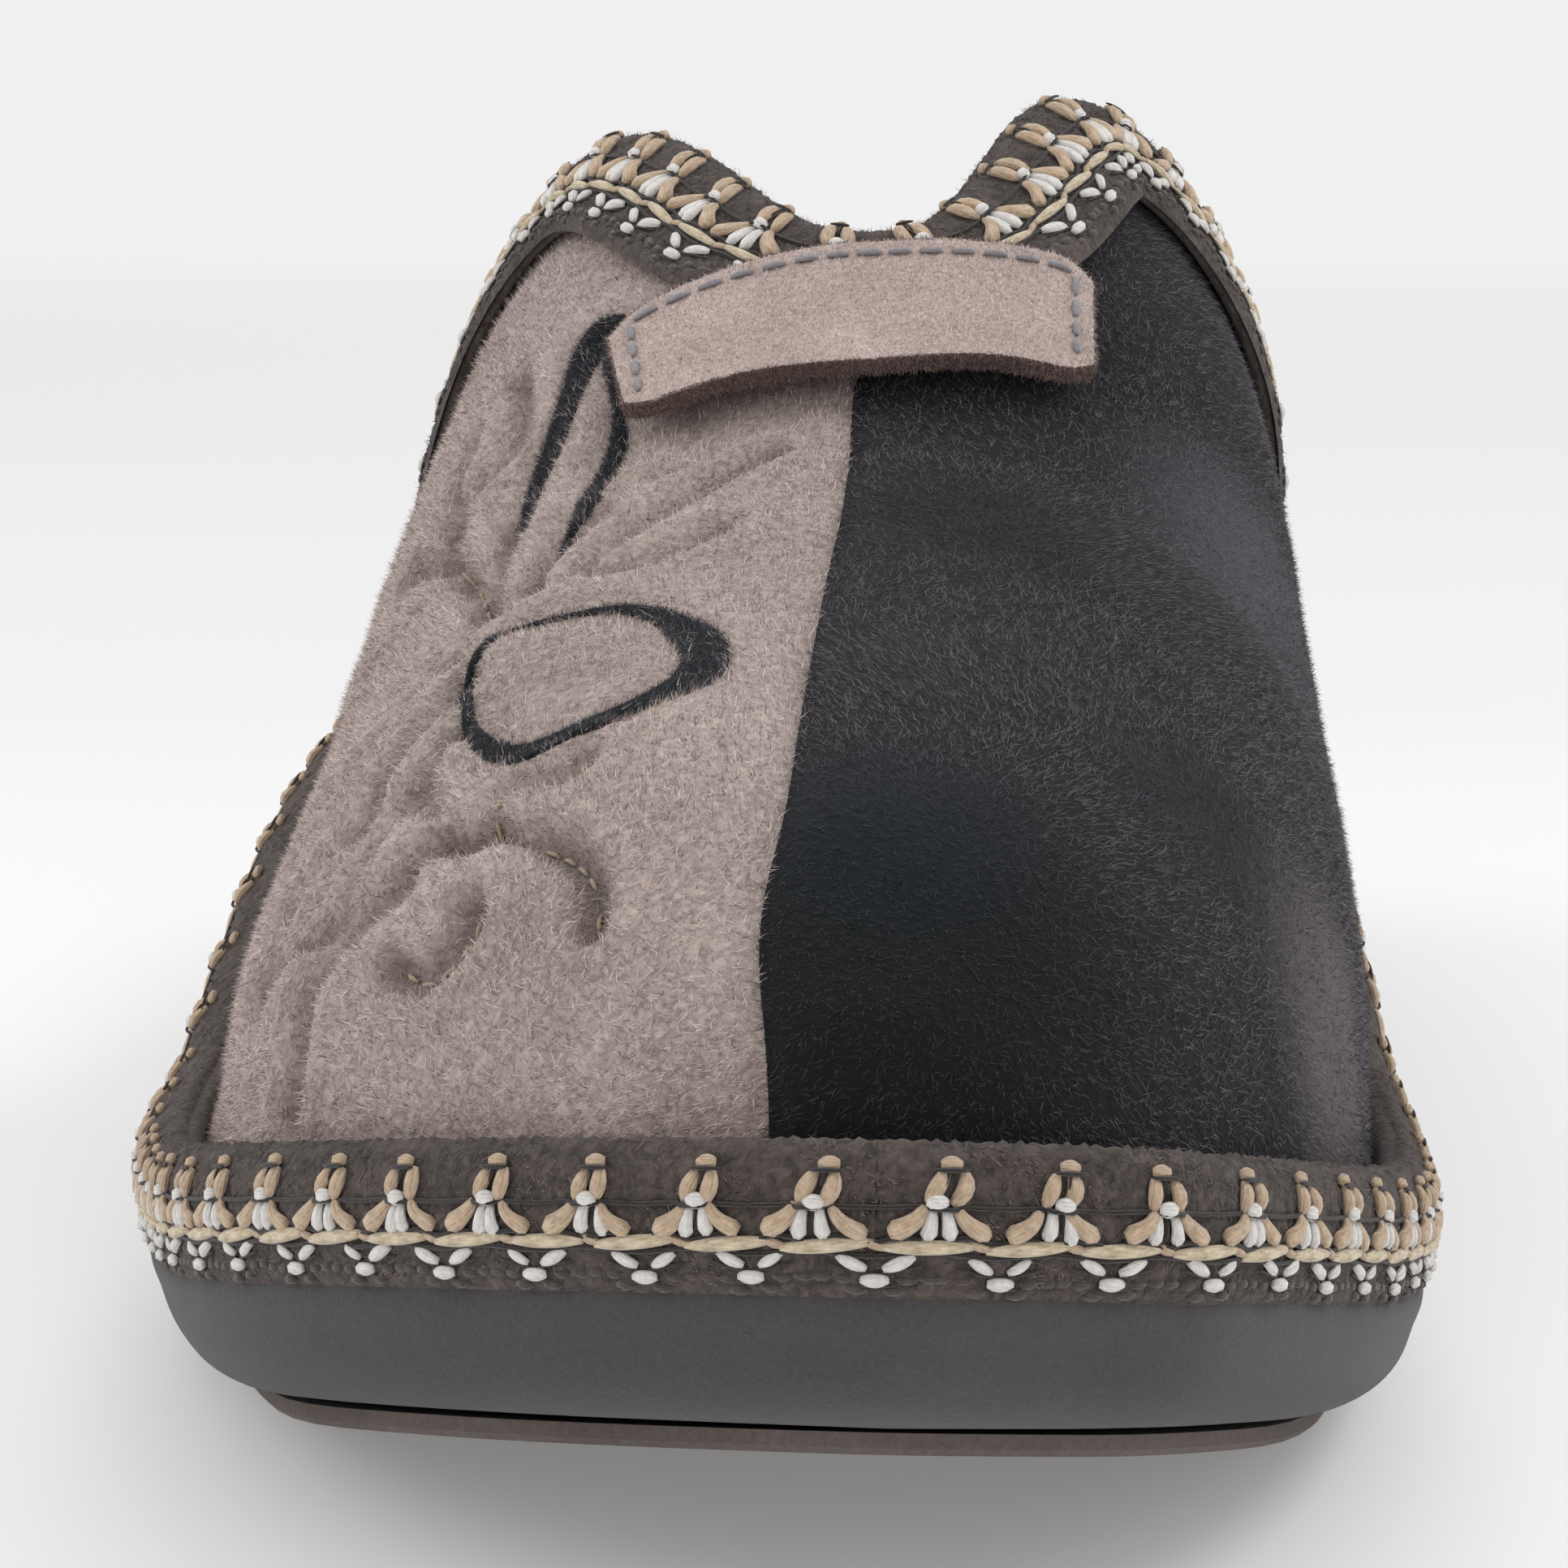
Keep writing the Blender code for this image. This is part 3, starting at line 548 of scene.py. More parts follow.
# Black flocked loops: centre line points of the picture with half widths
loops = [
    [(774, 392, 4), (752, 404, 16), (728, 432, 19), (708, 475, 15), (693, 520, 13), (676, 565, 11),
     (662, 600, 8), (650, 640, 5), (645, 655, 2)],
    [(752, 420, 14), (757, 470, 9), (762, 515, 7), (762, 548, 11), (750, 580, 9), (728, 618, 8),
     (710, 648, 6), (692, 684, 2)],
    [(640, 774, 2), (600, 793, 4), (583, 818, 5), (577, 858, 7), (579, 893, 11), (598, 920, 16),
     (628, 930, 14), (665, 921, 9), (710, 901, 8), (765, 878, 9), (818, 853, 12), (852, 832, 24),
     (868, 808, 36), (850, 786, 28), (818, 764, 15), (780, 753, 8), (740, 753, 5), (700, 760, 4),
     (655, 770, 3), (640, 774, 2)]]
felt = {"columns": 100, "rows": 210, "firstShare": 0.0004, "seamDeep": 0.5, "seamWide": 1.2, "ripple": 0.3,
        "creaseDepth": 2.7, "creaseWidth": 0.8, "creaseLip": 0.35, "softLimit": 1.2, "pastLimit": 0.4,
        "loopDeep": 0.7, "loopWide": 1.6, "lipHigh": 0.5, "lipAway": 4.5, "lipWide": 2.2,
        "deepest": 2.4, "proudest": 1.1, "plainBelow": 6.0, "plainFade": 5.0}
plain = {"rows": 150, "columns": 200}


def surfacePoint(share, around):
    return vampPoint(share * vampReach(around), around)


def treeOf(points, faces):
    return BVHTree.FromPolygons([Vector(point) for point in points.reshape(-1, 3)], faces.tolist())


plainShares, plainArounds = np.meshgrid(np.linspace(felt["firstShare"], 1, plain["rows"]) ** 1.3,
                                        np.linspace(0, 1, plain["columns"]), indexing="ij")
plainTree = treeOf(surfacePoint(plainShares, plainArounds), gridFaces(plain["rows"], plain["columns"]))
seamSpots = np.array([lands(plainTree, x, y)[0] for x, y in alongLine(seamInPicture, 25)])
seamOrder = np.argsort(seamSpots[:, 1])


def seamX(y):
    return np.interp(y, seamSpots[seamOrder, 1], seamSpots[seamOrder, 0])


def seamAround(share):  # where the seam crosses this row
    tries = np.linspace(0, 1, 600)
    places = surfacePoint(np.full(600, share), tries)
    past = np.maximum.accumulate(places[:, 0] - seamX(places[:, 1]))
    return float(np.interp(0, past, tries))


rowShares = (np.arange(felt["rows"] + 1) / felt["rows"]) ** 1.5
rowShares[0] = felt["firstShare"]
seamLine = np.array([seamAround(share) for share in rowShares])


def feltGrid(outerHalf):
    t = np.linspace(0, 1, felt["columns"] + 1)
    if outerHalf:
        arounds = seamLine[:, None] * t[None, :]
    else:
        arounds = seamLine[:, None] + (1 - seamLine[:, None]) * t[None, :]
    shares = np.repeat(rowShares[:, None], len(t), 1)
    points = surfacePoint(shares, arounds)
    byRow = np.gradient(points, axis=0)
    byColumn = np.gradient(points, axis=1)
    normals = np.cross(byColumn, byRow)
    size = np.linalg.norm(normals, axis=-1, keepdims=True)
    normals = np.where(size > 1e-12, normals / np.maximum(size, 1e-12), [0, -1, 0])
    return points, normals


lightPoints, lightNormals = feltGrid(True)
darkPoints, darkNormals = feltGrid(False)
feltFaces = gridFaces(*lightPoints.shape[:2])

troughs = []
for deep, wide, threaded, line in quilting:
    spots = [lands(plainTree, x, y)[0] for x, y in alongLine(line, 6)]
    spots = [spot for spot in spots if spot is not None]
    if len(spots) > 1:
        deep, wide = deep * felt["creaseDepth"] * mm, wide * felt["creaseWidth"] * mm
        troughs.append((deep, wide, threaded, np.array(spots)))
print("quilting lines placed:", len(troughs))


def softNoise(points, scale, seed):  # slow waves in three directions
    waves = np.random.default_rng(seed).normal(size=(7, 3)) * scale
    phase = np.random.default_rng(seed + 1).uniform(0, 6.28, 7)
    return np.sin(points @ waves.T + phase).mean(-1)


def nearTo(spots, flat, reach):  # which points lie near a line of spots, and how far from it
    tree = KDTree(len(spots))
    for i, spot in enumerate(spots):
        tree.insert(Vector(spot), i)
    tree.balance()
    near = np.where(((flat > np.min(spots, 0) - reach) & (flat < np.max(spots, 0) + reach)).all(1))[0]
    return near, np.array([tree.find(Vector(flat[i]))[2] for i in near])


def hollow(far, wide):
    return np.exp(-(far / wide) ** 2)


def pressIn(points, normals, light):  # troughs and loops in the light half, seam and ripples in both
    flat = points.reshape(-1, 3)
    sink = np.zeros(len(flat))
    if light:
        for deep, wide, _, spots in troughs:
            near, far = nearTo(spots, flat, 4 * wide)
            sink[near] += deep * (hollow(far, wide) - felt["creaseLip"] * hollow(far - 2.3 * wide, wide))
        over = np.maximum(sink - felt["softLimit"] * mm, 0)
        sink -= over * (1 - felt["pastLimit"])
        for line in loops:
            spots = [lands(plainTree, x, y)[0] for x, y, _ in alongLine(line, 8)]
            near, far = nearTo(spots, flat, 6 * mm)
            lip = felt["lipHigh"] * hollow(far - felt["lipAway"] * mm, felt["lipWide"] * mm)
            sink[near] += (felt["loopDeep"] * hollow(far, felt["loopWide"] * mm) - lip) * mm
        sink = np.clip(sink, -felt["proudest"] * mm, felt["deepest"] * mm)
    fromSeam = np.abs(flat[:, 0] - seamX(flat[:, 1]))
    sink += felt["seamDeep"] * mm * hollow(fromSeam, felt["seamWide"] * mm)
    sink += felt["ripple"] * mm * (softNoise(flat, 120, 3) + 0.5 * softNoise(flat, 420, 5))
    aboveSole = flat[:, 2] - wedgeTop(flat[:, 1] + centre[1])
    sink *= np.clip((aboveSole / mm - felt["plainBelow"]) / felt["plainFade"], 0, 1)  # none by the ribbon
    sink = sink.reshape(points.shape[:2])
    return points - normals * sink[..., None], np.clip(sink / (1.5 * mm) - 0.15, 0, 1)


def buildFelt(name, points, press, material):
    piece = makePiece(name, points.reshape(-1, 3), feltFaces)
    pressed = piece.data.attributes.new("press", "FLOAT", "POINT")
    pressed.data.foreach_set("value", press.ravel().astype(np.float32))
    cleanUp(piece, turnOut=False)
    wall = piece.modifiers.new("wall", "SOLIDIFY")
    wall.thickness = last["felt"]
    wall.offset = -1
    applyModifiers(piece)
    finishPiece(piece, material, "vamp")


def paintTroughShade(material, colour, share):  # painted shade: the felt's colour is darkened down in its troughs, where shade falls
    tree = material.node_tree
    press, part = addNode(tree, "Attribute"), addNode(tree, "Math")
    press.attribute_name = "press"
    part.operation = "MULTIPLY"
    part.inputs[1].default_value = share
    tree.links.new(press.outputs["Fac"], part.inputs[0])
    tint(material, part.outputs["Value"], colour)


lightPressed, lightPress = pressIn(lightPoints, lightNormals, True)
darkPressed, darkPress = pressIn(darkPoints, darkNormals, False)
# painted shade in the light half's troughs
paintTroughShade(cloths["lightFelt"], (84, 73, 68), 0.6)
buildFelt("light_felt_half", lightPressed, lightPress, cloths["lightFelt"])
buildFelt("dark_felt_half", darkPressed, darkPress, cloths["darkFelt"])
lightTree = treeOf(lightPressed, feltFaces)


def addPaintedLight(material, x, y, reach, colour, share):  # painted light round this picture point: a darker colour paints shade, a lighter one a highlight
    tree = material.node_tree
    place, far = addNode(tree, "TexCoord"), addNode(tree, "VectorMath")
    far.operation = "DISTANCE"
    far.inputs[1].default_value = lands(plainTree, x, y)[0]
    fade = addNode(tree, "MapRange", {"From Min": 0.15 * reach * mm, "From Max": reach * mm,
                                      "To Min": share, "To Max": 0.0})
    fade.interpolation_type = "SMOOTHSTEP"
    tree.links.new(place.outputs["Object"], far.inputs[0])
    tree.links.new(far.outputs["Value"], fade.inputs["Value"])
    tint(material, fade.outputs["Result"], colour)


paintedLights = [  # painted shade on the toe's steep front and in creases, a bluish painted highlight streak and lighter painted highlights on the right flank: picture point, reach in mm, colour, strength
    (1110, 1180, 30, (15, 19, 20), 0.88), (1100, 1010, 17, (20, 28, 36), 0.65),
    (1480, 1000, 14, (34, 32, 37), 0.7), (1200, 640, 18, (26, 25, 30), 0.6),
    (1540, 690, 20, (96, 92, 98), 0.55), (1650, 1290, 20, (118, 111, 114), 0.6)]
print("felt halves made")


# Nap: thin one-face fibres that lie over the felt and stand out at its outline
nap = {"light": 140000, "dark": 95000, "length": (0.6, 1.6), "width": 0.085,
       "swirl": 0.55, "leastRise": 0.12, "rooted": 0.05, "pressedShade": 0.65}
fellDown = (0.0, 0.2, -0.25)


def growNap(name, points, material, count, length, width, lean=0.55, drift=fellDown, press=None):
    a, b = points[:-1, :-1].reshape(-1, 3), points[:-1, 1:].reshape(-1, 3)
    c, d = points[1:, 1:].reshape(-1, 3), points[1:, :-1].reshape(-1, 3)
    cross = np.cross(b - a, d - a)
    area = np.linalg.norm(cross, axis=1)
    pick = rng.choice(len(a), count, p=area / area.sum())
    u, v = rng.random((2, count, 1))
    root = (a[pick] * (1 - u) + b[pick] * u) * (1 - v) + (d[pick] * (1 - u) + c[pick] * u) * v
    normal = unit(cross[pick])
    flow = np.stack([2.2 * softNoise(root, 90, 21), np.zeros(count), 2.0 * softNoise(root, 70, 33)], -1)
    flow = flow + drift + rng.normal(size=(count, 3)) * nap["swirl"]
    flow = unit(flow - (flow * normal).sum(1, keepdims=True) * normal)
    rise = rng.uniform(nap["leastRise"], lean, (count, 1))
    way = flow * (1 - rise) + normal * rise
    side = unit(np.cross(way, normal)) * width * mm / 2
    long = rng.uniform(*length, (count, 1)) * mm
    foot = root - normal * nap["rooted"] * mm
    fibre = np.stack([foot - side, foot + side, foot + way * long], 1)
    shade = rng.random(count)
    # fibres down in the troughs are darkened too, as painted shade
    if press is not None:
        shade = shade * (1 - nap["pressedShade"] * press[:-1, :-1].ravel()[pick])
    uv = np.stack([np.repeat(shade, 3), np.tile([0, 0, 1.0], count)], -1)
    piece = makePiece(name, fibre.reshape(-1, 3), np.arange(count * 3).reshape(-1, 3), uv)
    finishPiece(piece, material, smooth=False)


darkFibre = fibreMaterial("dark_fibre", (118, 113, 120), (10, 9, 12))
# the same painted shade and highlights go onto the dark felt and its nap fibres
for paintedSpot in paintedLights:
    addPaintedLight(cloths["darkFelt"], *paintedSpot)
    addPaintedLight(darkFibre, *paintedSpot)
lightFibre = fibreMaterial("light_fibre", (232, 215, 208), (110, 96, 90))
growNap("light_nap", lightPressed, lightFibre, nap["light"], nap["length"], nap["width"], 0.7,
        press=lightPress)
growNap("dark_nap", darkPressed, darkFibre, nap["dark"], nap["length"], nap["width"])
print("nap grown")


# Black flocked loops lie in shallow troughs with light hairs across them
flock = {"across": 9, "step": 5, "proud": 0.42, "sunk": 0.2, "nap": 9000, "napLength": (0.4, 1.1),
         "hairs": 260, "hairLength": (0.8, 1.9)}
blackFibre = fibreMaterial("black_fibre", (78, 82, 90), (14, 15, 18))


def towardsEye(direction, spot):
    return direction if direction @ (eye - spot) > 0 else -direction


def buildLoop(name, line):  # a strip across the line, raised in the middle and sunk at both edges
    track = alongLine(line, flock["step"])
    run = unit(np.gradient(track[:, :2], axis=0))
    rows = []
    for (x, y, wide), (runX, runY) in zip(track, run):
        row = []
        for t in np.linspace(-1, 1, flock["across"]):
            spot, normal = lands(lightTree, x - runY * wide * t, y + runX * wide * t)
            if spot is None:
                break
            lift = flock["proud"] * (1 - t ** 4) * min(1, wide / 8) - flock["sunk"] * t ** 4
            row.append(spot + towardsEye(normal, spot) * lift * mm)
        if len(row) == flock["across"]:
            rows.append(row)
    points = np.array(rows)
    piece = makePiece(name, points.reshape(-1, 3), gridFaces(*points.shape[:2]))
    turnTowards(piece, Vector(eye))
    finishPiece(piece, cloths["flock"])
    return points


for number, line in enumerate(loops, 1):
    grid = buildLoop("flock_loop_%d" % number, line)
    facing = np.cross(grid[0, 1] - grid[0, 0], grid[1, 0] - grid[0, 0])
    if facing @ (eye - grid[0, 0]) <= 0:
        grid = grid[:, ::-1]
    growNap("flock_nap_%d" % number, grid, blackFibre, flock["nap"], flock["napLength"], 0.08, 0.8)
    growNap("stray_hairs_%d" % number, grid, lightFibre, flock["hairs"], flock["hairLength"],
            0.075, 0.6)
print("flocked loops made")


# Strands: short tubes with fat middles, gathered into one mesh for each yarn
class Bundle:
    def __init__(self):
        self.points, self.faces, self.uv, self.count = [], [], [], 0

    def add(self, path, radii, normals, sides=6, flat=0.8):
        path, n = np.asarray(path), len(path)
        run = unit(np.gradient(path, axis=0))
        out = unit(normals - (normals * run).sum(1, keepdims=True) * run)
        across = np.cross(run, out)
        turn = np.linspace(0, 2 * np.pi, sides, endpoint=False)[None, :, None]
        ring = np.cos(turn) * across[:, None, :] + flat * np.sin(turn) * out[:, None, :]
        tube = path[:, None, :] + radii[:, None, None] * ring
        far = runAlong(path) / mm
        uv = np.stack([np.repeat(far[:, None], sides, 1), np.repeat(turn[:, :, 0] / np.pi, n, 0)], -1)
        i, j = np.meshgrid(np.arange(n - 1) * sides, np.arange(sides), indexing="ij")
        k = (j + 1) % sides
        quads = np.stack([i + j, i + k, i + sides + k, i + sides + j], -1).reshape(-1, 4)
        start, end = n * sides, (n - 1) * sides
        first = np.array([[start, (m + 1) % sides, m] for m in range(sides)])
        final = np.array([[start + 1, end + m, end + (m + 1) % sides] for m in range(sides)])
        self.points += [tube.reshape(-1, 3), path[:1], path[-1:]]
        self.uv += [uv.reshape(-1, 2), [[0, 0]], [[far[-1], 0]]]
        triangles = np.concatenate([quads[:, [0, 1, 2]], quads[:, [0, 2, 3]], first, final])
        self.faces.append(triangles + self.count)
        self.count += n * sides + 2

    def piece(self, name, material, slotName):
        made = makePiece(name, *(np.concatenate(part) for part in (self.points, self.faces, self.uv)))
        cleanUp(made)
        finishPiece(made, material)


def fat(n, middle, end=0.35):  # radius along a strand, thin at both ends
    t = np.linspace(0, 1, n)
    return middle * (end + (1 - end) * np.sin(np.pi * np.clip(t * 0.9 + 0.05, 0, 1)) ** 0.6)


# One strand laid on a surface from start to end, bowed sideways or fat near its end like a drop
def stroke(bundle, surface, start, end, radius, lift, count=6, bow=0.0, drop=False):
    t = np.linspace(0, 1, count)
    s = start[0] + (end[0] - start[0]) * t + bow * np.sin(np.pi * t)
    d = start[1] + (end[1] - start[1]) * t
    rise = lift + 0.4 * radius * np.sin(np.pi * t)
    path, outer = surface(s, d, rise), surface(s, d, rise + 0.5 * mm)
    radii = radius * (0.55 + 0.5 * t) * np.where(t > 0.97, 0.6, 1) if drop else fat(count, radius)
    bundle.add(path, radii, outer - path)


# Each motif hangs from a line that lies top mm below the ribbon's crest; the next one follows at the pitch
soleMotif = {"top": 2.7, "pitch": 7.85, "wide": 1.0, "tall": 1.0}
collarMotif = {"aboveFold": 2.4, "pitch": 6.9, "wide": 0.95, "tall": 1.3}
stitch = {"ecruShare": 0.83, "ecruRow": 6.35, "thread": 0.18, "threadStep": 0.6, "slip": 0.16, "lean": 0.35}


def embroider(surface, length, top, prefix, motif):
    bundles = {name: Bundle() for name in ("tan", "white", "ecru", "dark", "ground")}
    wide, tall = motif["wide"], motif["tall"]
    motifs = int(round(length / (motif["pitch"] * mm)))
    pitch = length / motifs
    for i in range(motifs):
        jog = rng.normal(0, stitch["slip"], 10) * mm
        lean = rng.normal(0.0, stitch["lean"])

        def at(x, d, k):  # x along from the motif's middle and d down from the top, with a lean and a slip
            along = (i + 0.5) * pitch + (x * wide + lean * max(0, 3 - d) / 3) * mm + jog[k]
            return along, top + d * tall * mm + 0.5 * jog[k + 1]

        def sew(yarn, a, b, radius, lift, k=0, bow=0.0, count=6, drop=False):
            stroke(bundles[yarn], surface, at(*a, k), at(*b, k), radius * math.sqrt(tall) * mm, lift * mm,
                   count, bow * mm, drop)

        sew("tan", (0.3, 0.3), (-1.0, 0.28), 0.52, 0.45)
        sew("tan", (0.22, 0.8), (0.85, 3.1), 0.6, 0.38, 1, 0.1)
        sew("tan", (-0.95, 0.78), (-0.62, 3.1), 0.62, 0.4, 2, -0.3)
        sew("white", (0.62, 2.98), (-0.62, 2.98), 0.58, 0.62)
        sew("white", (0.34, 3.45), (0.68, 5.75), 0.63, 0.4, 3, drop=True)
        sew("white", (-0.42, 3.45), (-0.72, 5.75), 0.6, 0.4, 4, drop=True)
        sew("tan", (0.95, 3.35), (3.1, 5.4), 0.78, 0.36, 5, -0.35, 9, True)
        sew("tan", (-1.0, 3.35), (-3.1, 5.5), 0.68, 0.36, 6, 0.35, 9, True)
        sew("dark", (0.75, 0.75), (-1.45, 0.78), 0.17, 0.9)
        sew("dark", (-0.28, 0.8), (-0.2, 1.8), 0.12, 0.75, count=5)
        sew("dark", (0.05, 3.5), (0.0, 5.4), 0.13, 0.5, count=5)
        half = pitch / mm / 2 / wide
        for sign in (-1, 1):
            size = rng.uniform(0.85, 1.1)
            sew("white", (half + sign * 0.55, 8.0), (half + sign * 2.35 * size, 7.05), 0.47 * size, 0.34, 7)
            sew("dark", (half + sign * 0.1, 8.35), (half + sign * 2.9, 7.7), 0.12, 0.4, 7)
            for x, d in ((2.0, 8.8), (3.4, 8.7), (1.2, 9.55)):
                sew("ground", (half + sign * (x - 0.7), d), (half + sign * (x + 0.7), d), 0.42, 0.0,
                    8 if sign > 0 else 7, count=4)
        sew("white", (half - 0.85, 8.75), (half + 0.85, 8.75), 0.5, 0.42, 7)
        sew("dark", (half - 1.1, 9.2), (half + 1.1, 9.2), 0.12, 0.4, 7, count=5)
    dashes = int(round(length / (stitch["ecruShare"] * pitch)))
    step = length / dashes
    row = top + stitch["ecruRow"] * tall * mm
    for i in range(dashes):
        s = i * step
        tilt = rng.uniform(0.05, 0.4) * mm
        near, far = s + rng.uniform(0.3, 0.5) * mm, s + step - rng.uniform(0.3, 0.6) * mm
        stroke(bundles["ecru"], surface, (near, row - tilt), (far, row + tilt), 0.52 * mm, 0.4 * mm, 12)
        stroke(bundles["tan"], surface, (s - 0.8 * mm, row + 0.2 * mm), (s + 0.7 * mm, row - 0.35 * mm),
               0.36 * mm, 0.3 * mm, 5)
    count = max(40, int(length / (stitch["threadStep"] * mm)))
    s = np.linspace(0, length, count)
    turn = 2 * np.pi * s / pitch
    onMotif = np.cos(turn - np.pi) > 0.75
    for down, wave, turns, rise, over in (  # three dark threads; the topmost passes over the motifs
            (3.3, 0.08, 1.0, 0.42, onMotif), (5.85, 0.25, 2.0, 0.5, 0 * s), (6.95, 0.15, 1.0, 0.45, 0 * s)):
        d = top + (down * tall + wave * np.sin(turn * turns + 1.2) + 0.12 * over) * mm
        lift = (rise + 0.55 * over) * mm
        path, outer = surface(s, d, lift), surface(s, d, lift + 0.5 * mm)
        bundles["dark"].add(path, np.full(count, stitch["thread"] * mm), outer - path, sides=5)
    for name, bundle in bundles.items():
        bundle.piece(prefix + "_" + name + "_yarn", yarns[name], "ribbon")


knit = {"step": 0.42, "rib": 1.15, "row": 1.7, "high": 0.34, "hair": (0.5, 1.5), "hairWidth": 0.075,
        "hem": 0.9, "tuck": 0.35, "proud": 0.1, "sway": 0.22, "dent": 0.3, "uneven": 0.12}
ribbonFibre = fibreMaterial("ribbon_fibre", (132, 120, 114), (42, 36, 33))


def layKnit(surface, length, reach, name, hairs, drift):  # ribbed wool ground, tucked in at both edges
    across = np.linspace(0, length, int(length / (knit["step"] * mm)))
    down = np.linspace(0, reach, int(reach / (knit["step"] * mm)))
    s, d = np.meshgrid(across, down, indexing="ij")
    rib, row = s / (knit["rib"] * mm), d / (knit["row"] * mm)
    high = 0.5 + 0.5 * np.cos(2 * np.pi * (rib + knit["sway"] * np.sin(2 * np.pi * row)))
    dent = knit["dent"] * (1 - np.cos(2 * np.pi * row + np.pi * np.floor(rib)))
    high = high * (1 - dent) * knit["high"]
    flat = np.stack([s, d, 0 * s], -1).reshape(-1, 3)
    high = high + knit["uneven"] * softNoise(flat, 1300, 9).reshape(s.shape)
    inside = np.clip(np.minimum(d, reach - d) / (knit["hem"] * mm), 0, 1)
    points = surface(s, d, ((knit["proud"] + high) * inside - knit["tuck"] * (1 - inside)) * mm)
    sheet = makePiece(name, points.reshape(-1, 3), gridFaces(*points.shape[:2]))
    above = surface(np.array([s[len(s) // 2, 0]]), np.array([np.mean(down)]), np.array([3 * mm]))[0]
    if turnTowards(sheet, Vector(above)):
        points = points[:, ::-1]
    cleanUp(sheet, turnOut=False)
    finishPiece(sheet, cloths["ribbon"])
    growNap(name + "_hairs", points[::3, ::3], ribbonFibre, hairs, knit["hair"], knit["hairWidth"],
            0.6, drift)


soleRing = rimRun[-1]
embroider(rimPoint, soleRing, soleMotif["top"] * mm, "sole", soleMotif)
layKnit(rimPoint, soleRing, 13.0 * mm, "sole_ribbon_knit", 60000, (0.0, 0.0, 0.8))
soleGround = copyOfNode("sole_ribbon_ground", "sole_ribbon", 1)
for vertex in soleGround.data.vertices:
    foot = float(wedgeTop(vertex.co.y + centre[1])) + last["gap"]
    vertex.co.z = foot + float(settle(vertex.co.z - foot))
finishPiece(soleGround, cloths["ribbon"], "sole_ribbon")
print("sole ribbon made")


# Ribbon folded over the collar: a table of places along the edge and down from the fold's crest
collar = {"thickness": 1.5, "gap": 0.4, "below": 11.2, "stations": 170, "foldSteps": 7, "steps": 12}
ribbonOut = (collar["gap"] + collar["thickness"]) * mm
foldRadius = last["felt"] / 2 + ribbonOut
foldRun = foldRadius * np.pi / 2


def edgePoint(around):
    return vampPoint(vampReach(around), around)


def makeCollarTable():
    arounds = np.linspace(0, 1, 900)
    line = edgePoint(arounds)
    clear = line[:, 2] > wedgeTop(line[:, 1] + centre[1]) + rim["height"] + 3 * last["gap"]
    arounds, run = arounds[clear], runAlong(line[clear])
    stations = np.interp(np.linspace(0, run[-1], collar["stations"]), run, arounds)
    ahead = unit(edgePoint(np.minimum(stations + 0.002, 1)) - edgePoint(np.maximum(stations - 0.002, 0)))
    depth, place = vampReach(stations), stations.copy()
    normal = vampSlopes(depth, place)[2]
    inward = unit(np.cross(ahead, normal))
    middle = edgePoint(stations) - normal * last["felt"] / 2
    rows = []
    for turn in np.linspace(np.pi / 2, 0, collar["foldSteps"]):  # round the fold, from its crest outwards
        way = normal * np.cos(turn) - inward * np.sin(turn)
        rows.append((foldRun * (1 - turn / (np.pi / 2)), middle + foldRadius * way, way))
    for k in range(1, collar["steps"] + 1):  # then down the felt, 1 mm at a time
        byDepth, byAround, _ = vampSlopes(depth, place)
        for i in range(len(place)):
            slopes = np.stack([byDepth[i], byAround[i]], 1)
            move = np.linalg.lstsq(slopes, inward[i] * mm, rcond=None)[0]
            depth[i] += move[0]
            place[i] = np.clip(place[i] + move[1], 0.002, 0.998)
        normal = vampSlopes(depth, place)[2]
        rows.append((foldRun + k * mm, vampPoint(depth, place) + normal * ribbonOut, normal))
    downs, spots, normals = zip(*rows)
    return run[-1], np.array(downs), np.stack(spots, 1), np.stack(normals, 1)


collarLength, collarDowns, collarSpots, collarNormals = makeCollarTable()


def collarPoint(s, d, lift):
    s, d, lift = np.broadcast_arrays(np.asarray(s, float), np.asarray(d, float), np.asarray(lift, float))
    i = np.clip(s / collarLength, 0, 1) * (collarSpots.shape[0] - 1)
    j = np.interp(d, collarDowns, np.arange(len(collarDowns)))
    i0 = np.minimum(i.astype(int), collarSpots.shape[0] - 2)
    j0 = np.minimum(j.astype(int), len(collarDowns) - 2)
    u, v = (i - i0)[..., None], (j - j0)[..., None]

    def blend(grid):
        near = grid[i0, j0] * (1 - u) + grid[i0 + 1, j0] * u
        far = grid[i0, j0 + 1] * (1 - u) + grid[i0 + 1, j0 + 1] * u
        return near * (1 - v) + far * v

    return blend(collarSpots) + unit(blend(collarNormals)) * lift[..., None]


embroider(collarPoint, collarLength, foldRun - collarMotif["aboveFold"] * mm, "collar", collarMotif)
layKnit(collarPoint, collarLength, foldRun + collar["below"] * mm, "collar_ribbon_knit", 26000,
        (0.0, -0.4, 0.0))
collarGround = copyOfNode("collar_ribbon_ground", "collar_ribbon", 1)
finishPiece(collarGround, cloths["ribbon"], "collar_ribbon")
print("collar ribbon made")


# Suede tab over the foot of the V, with its own thread
tab = {"front": 106.0, "along": 16.0, "outer": 21.0, "inner": 20.5, "skew": 3.0, "corner": 3.5,
       "thickness": 1.9, "across": 48, "rows": 18, "stitchLong": 2.0, "stitchGap": 0.7, "hem": 1.7,
       "droop": 3.6, "hover": 0.3}


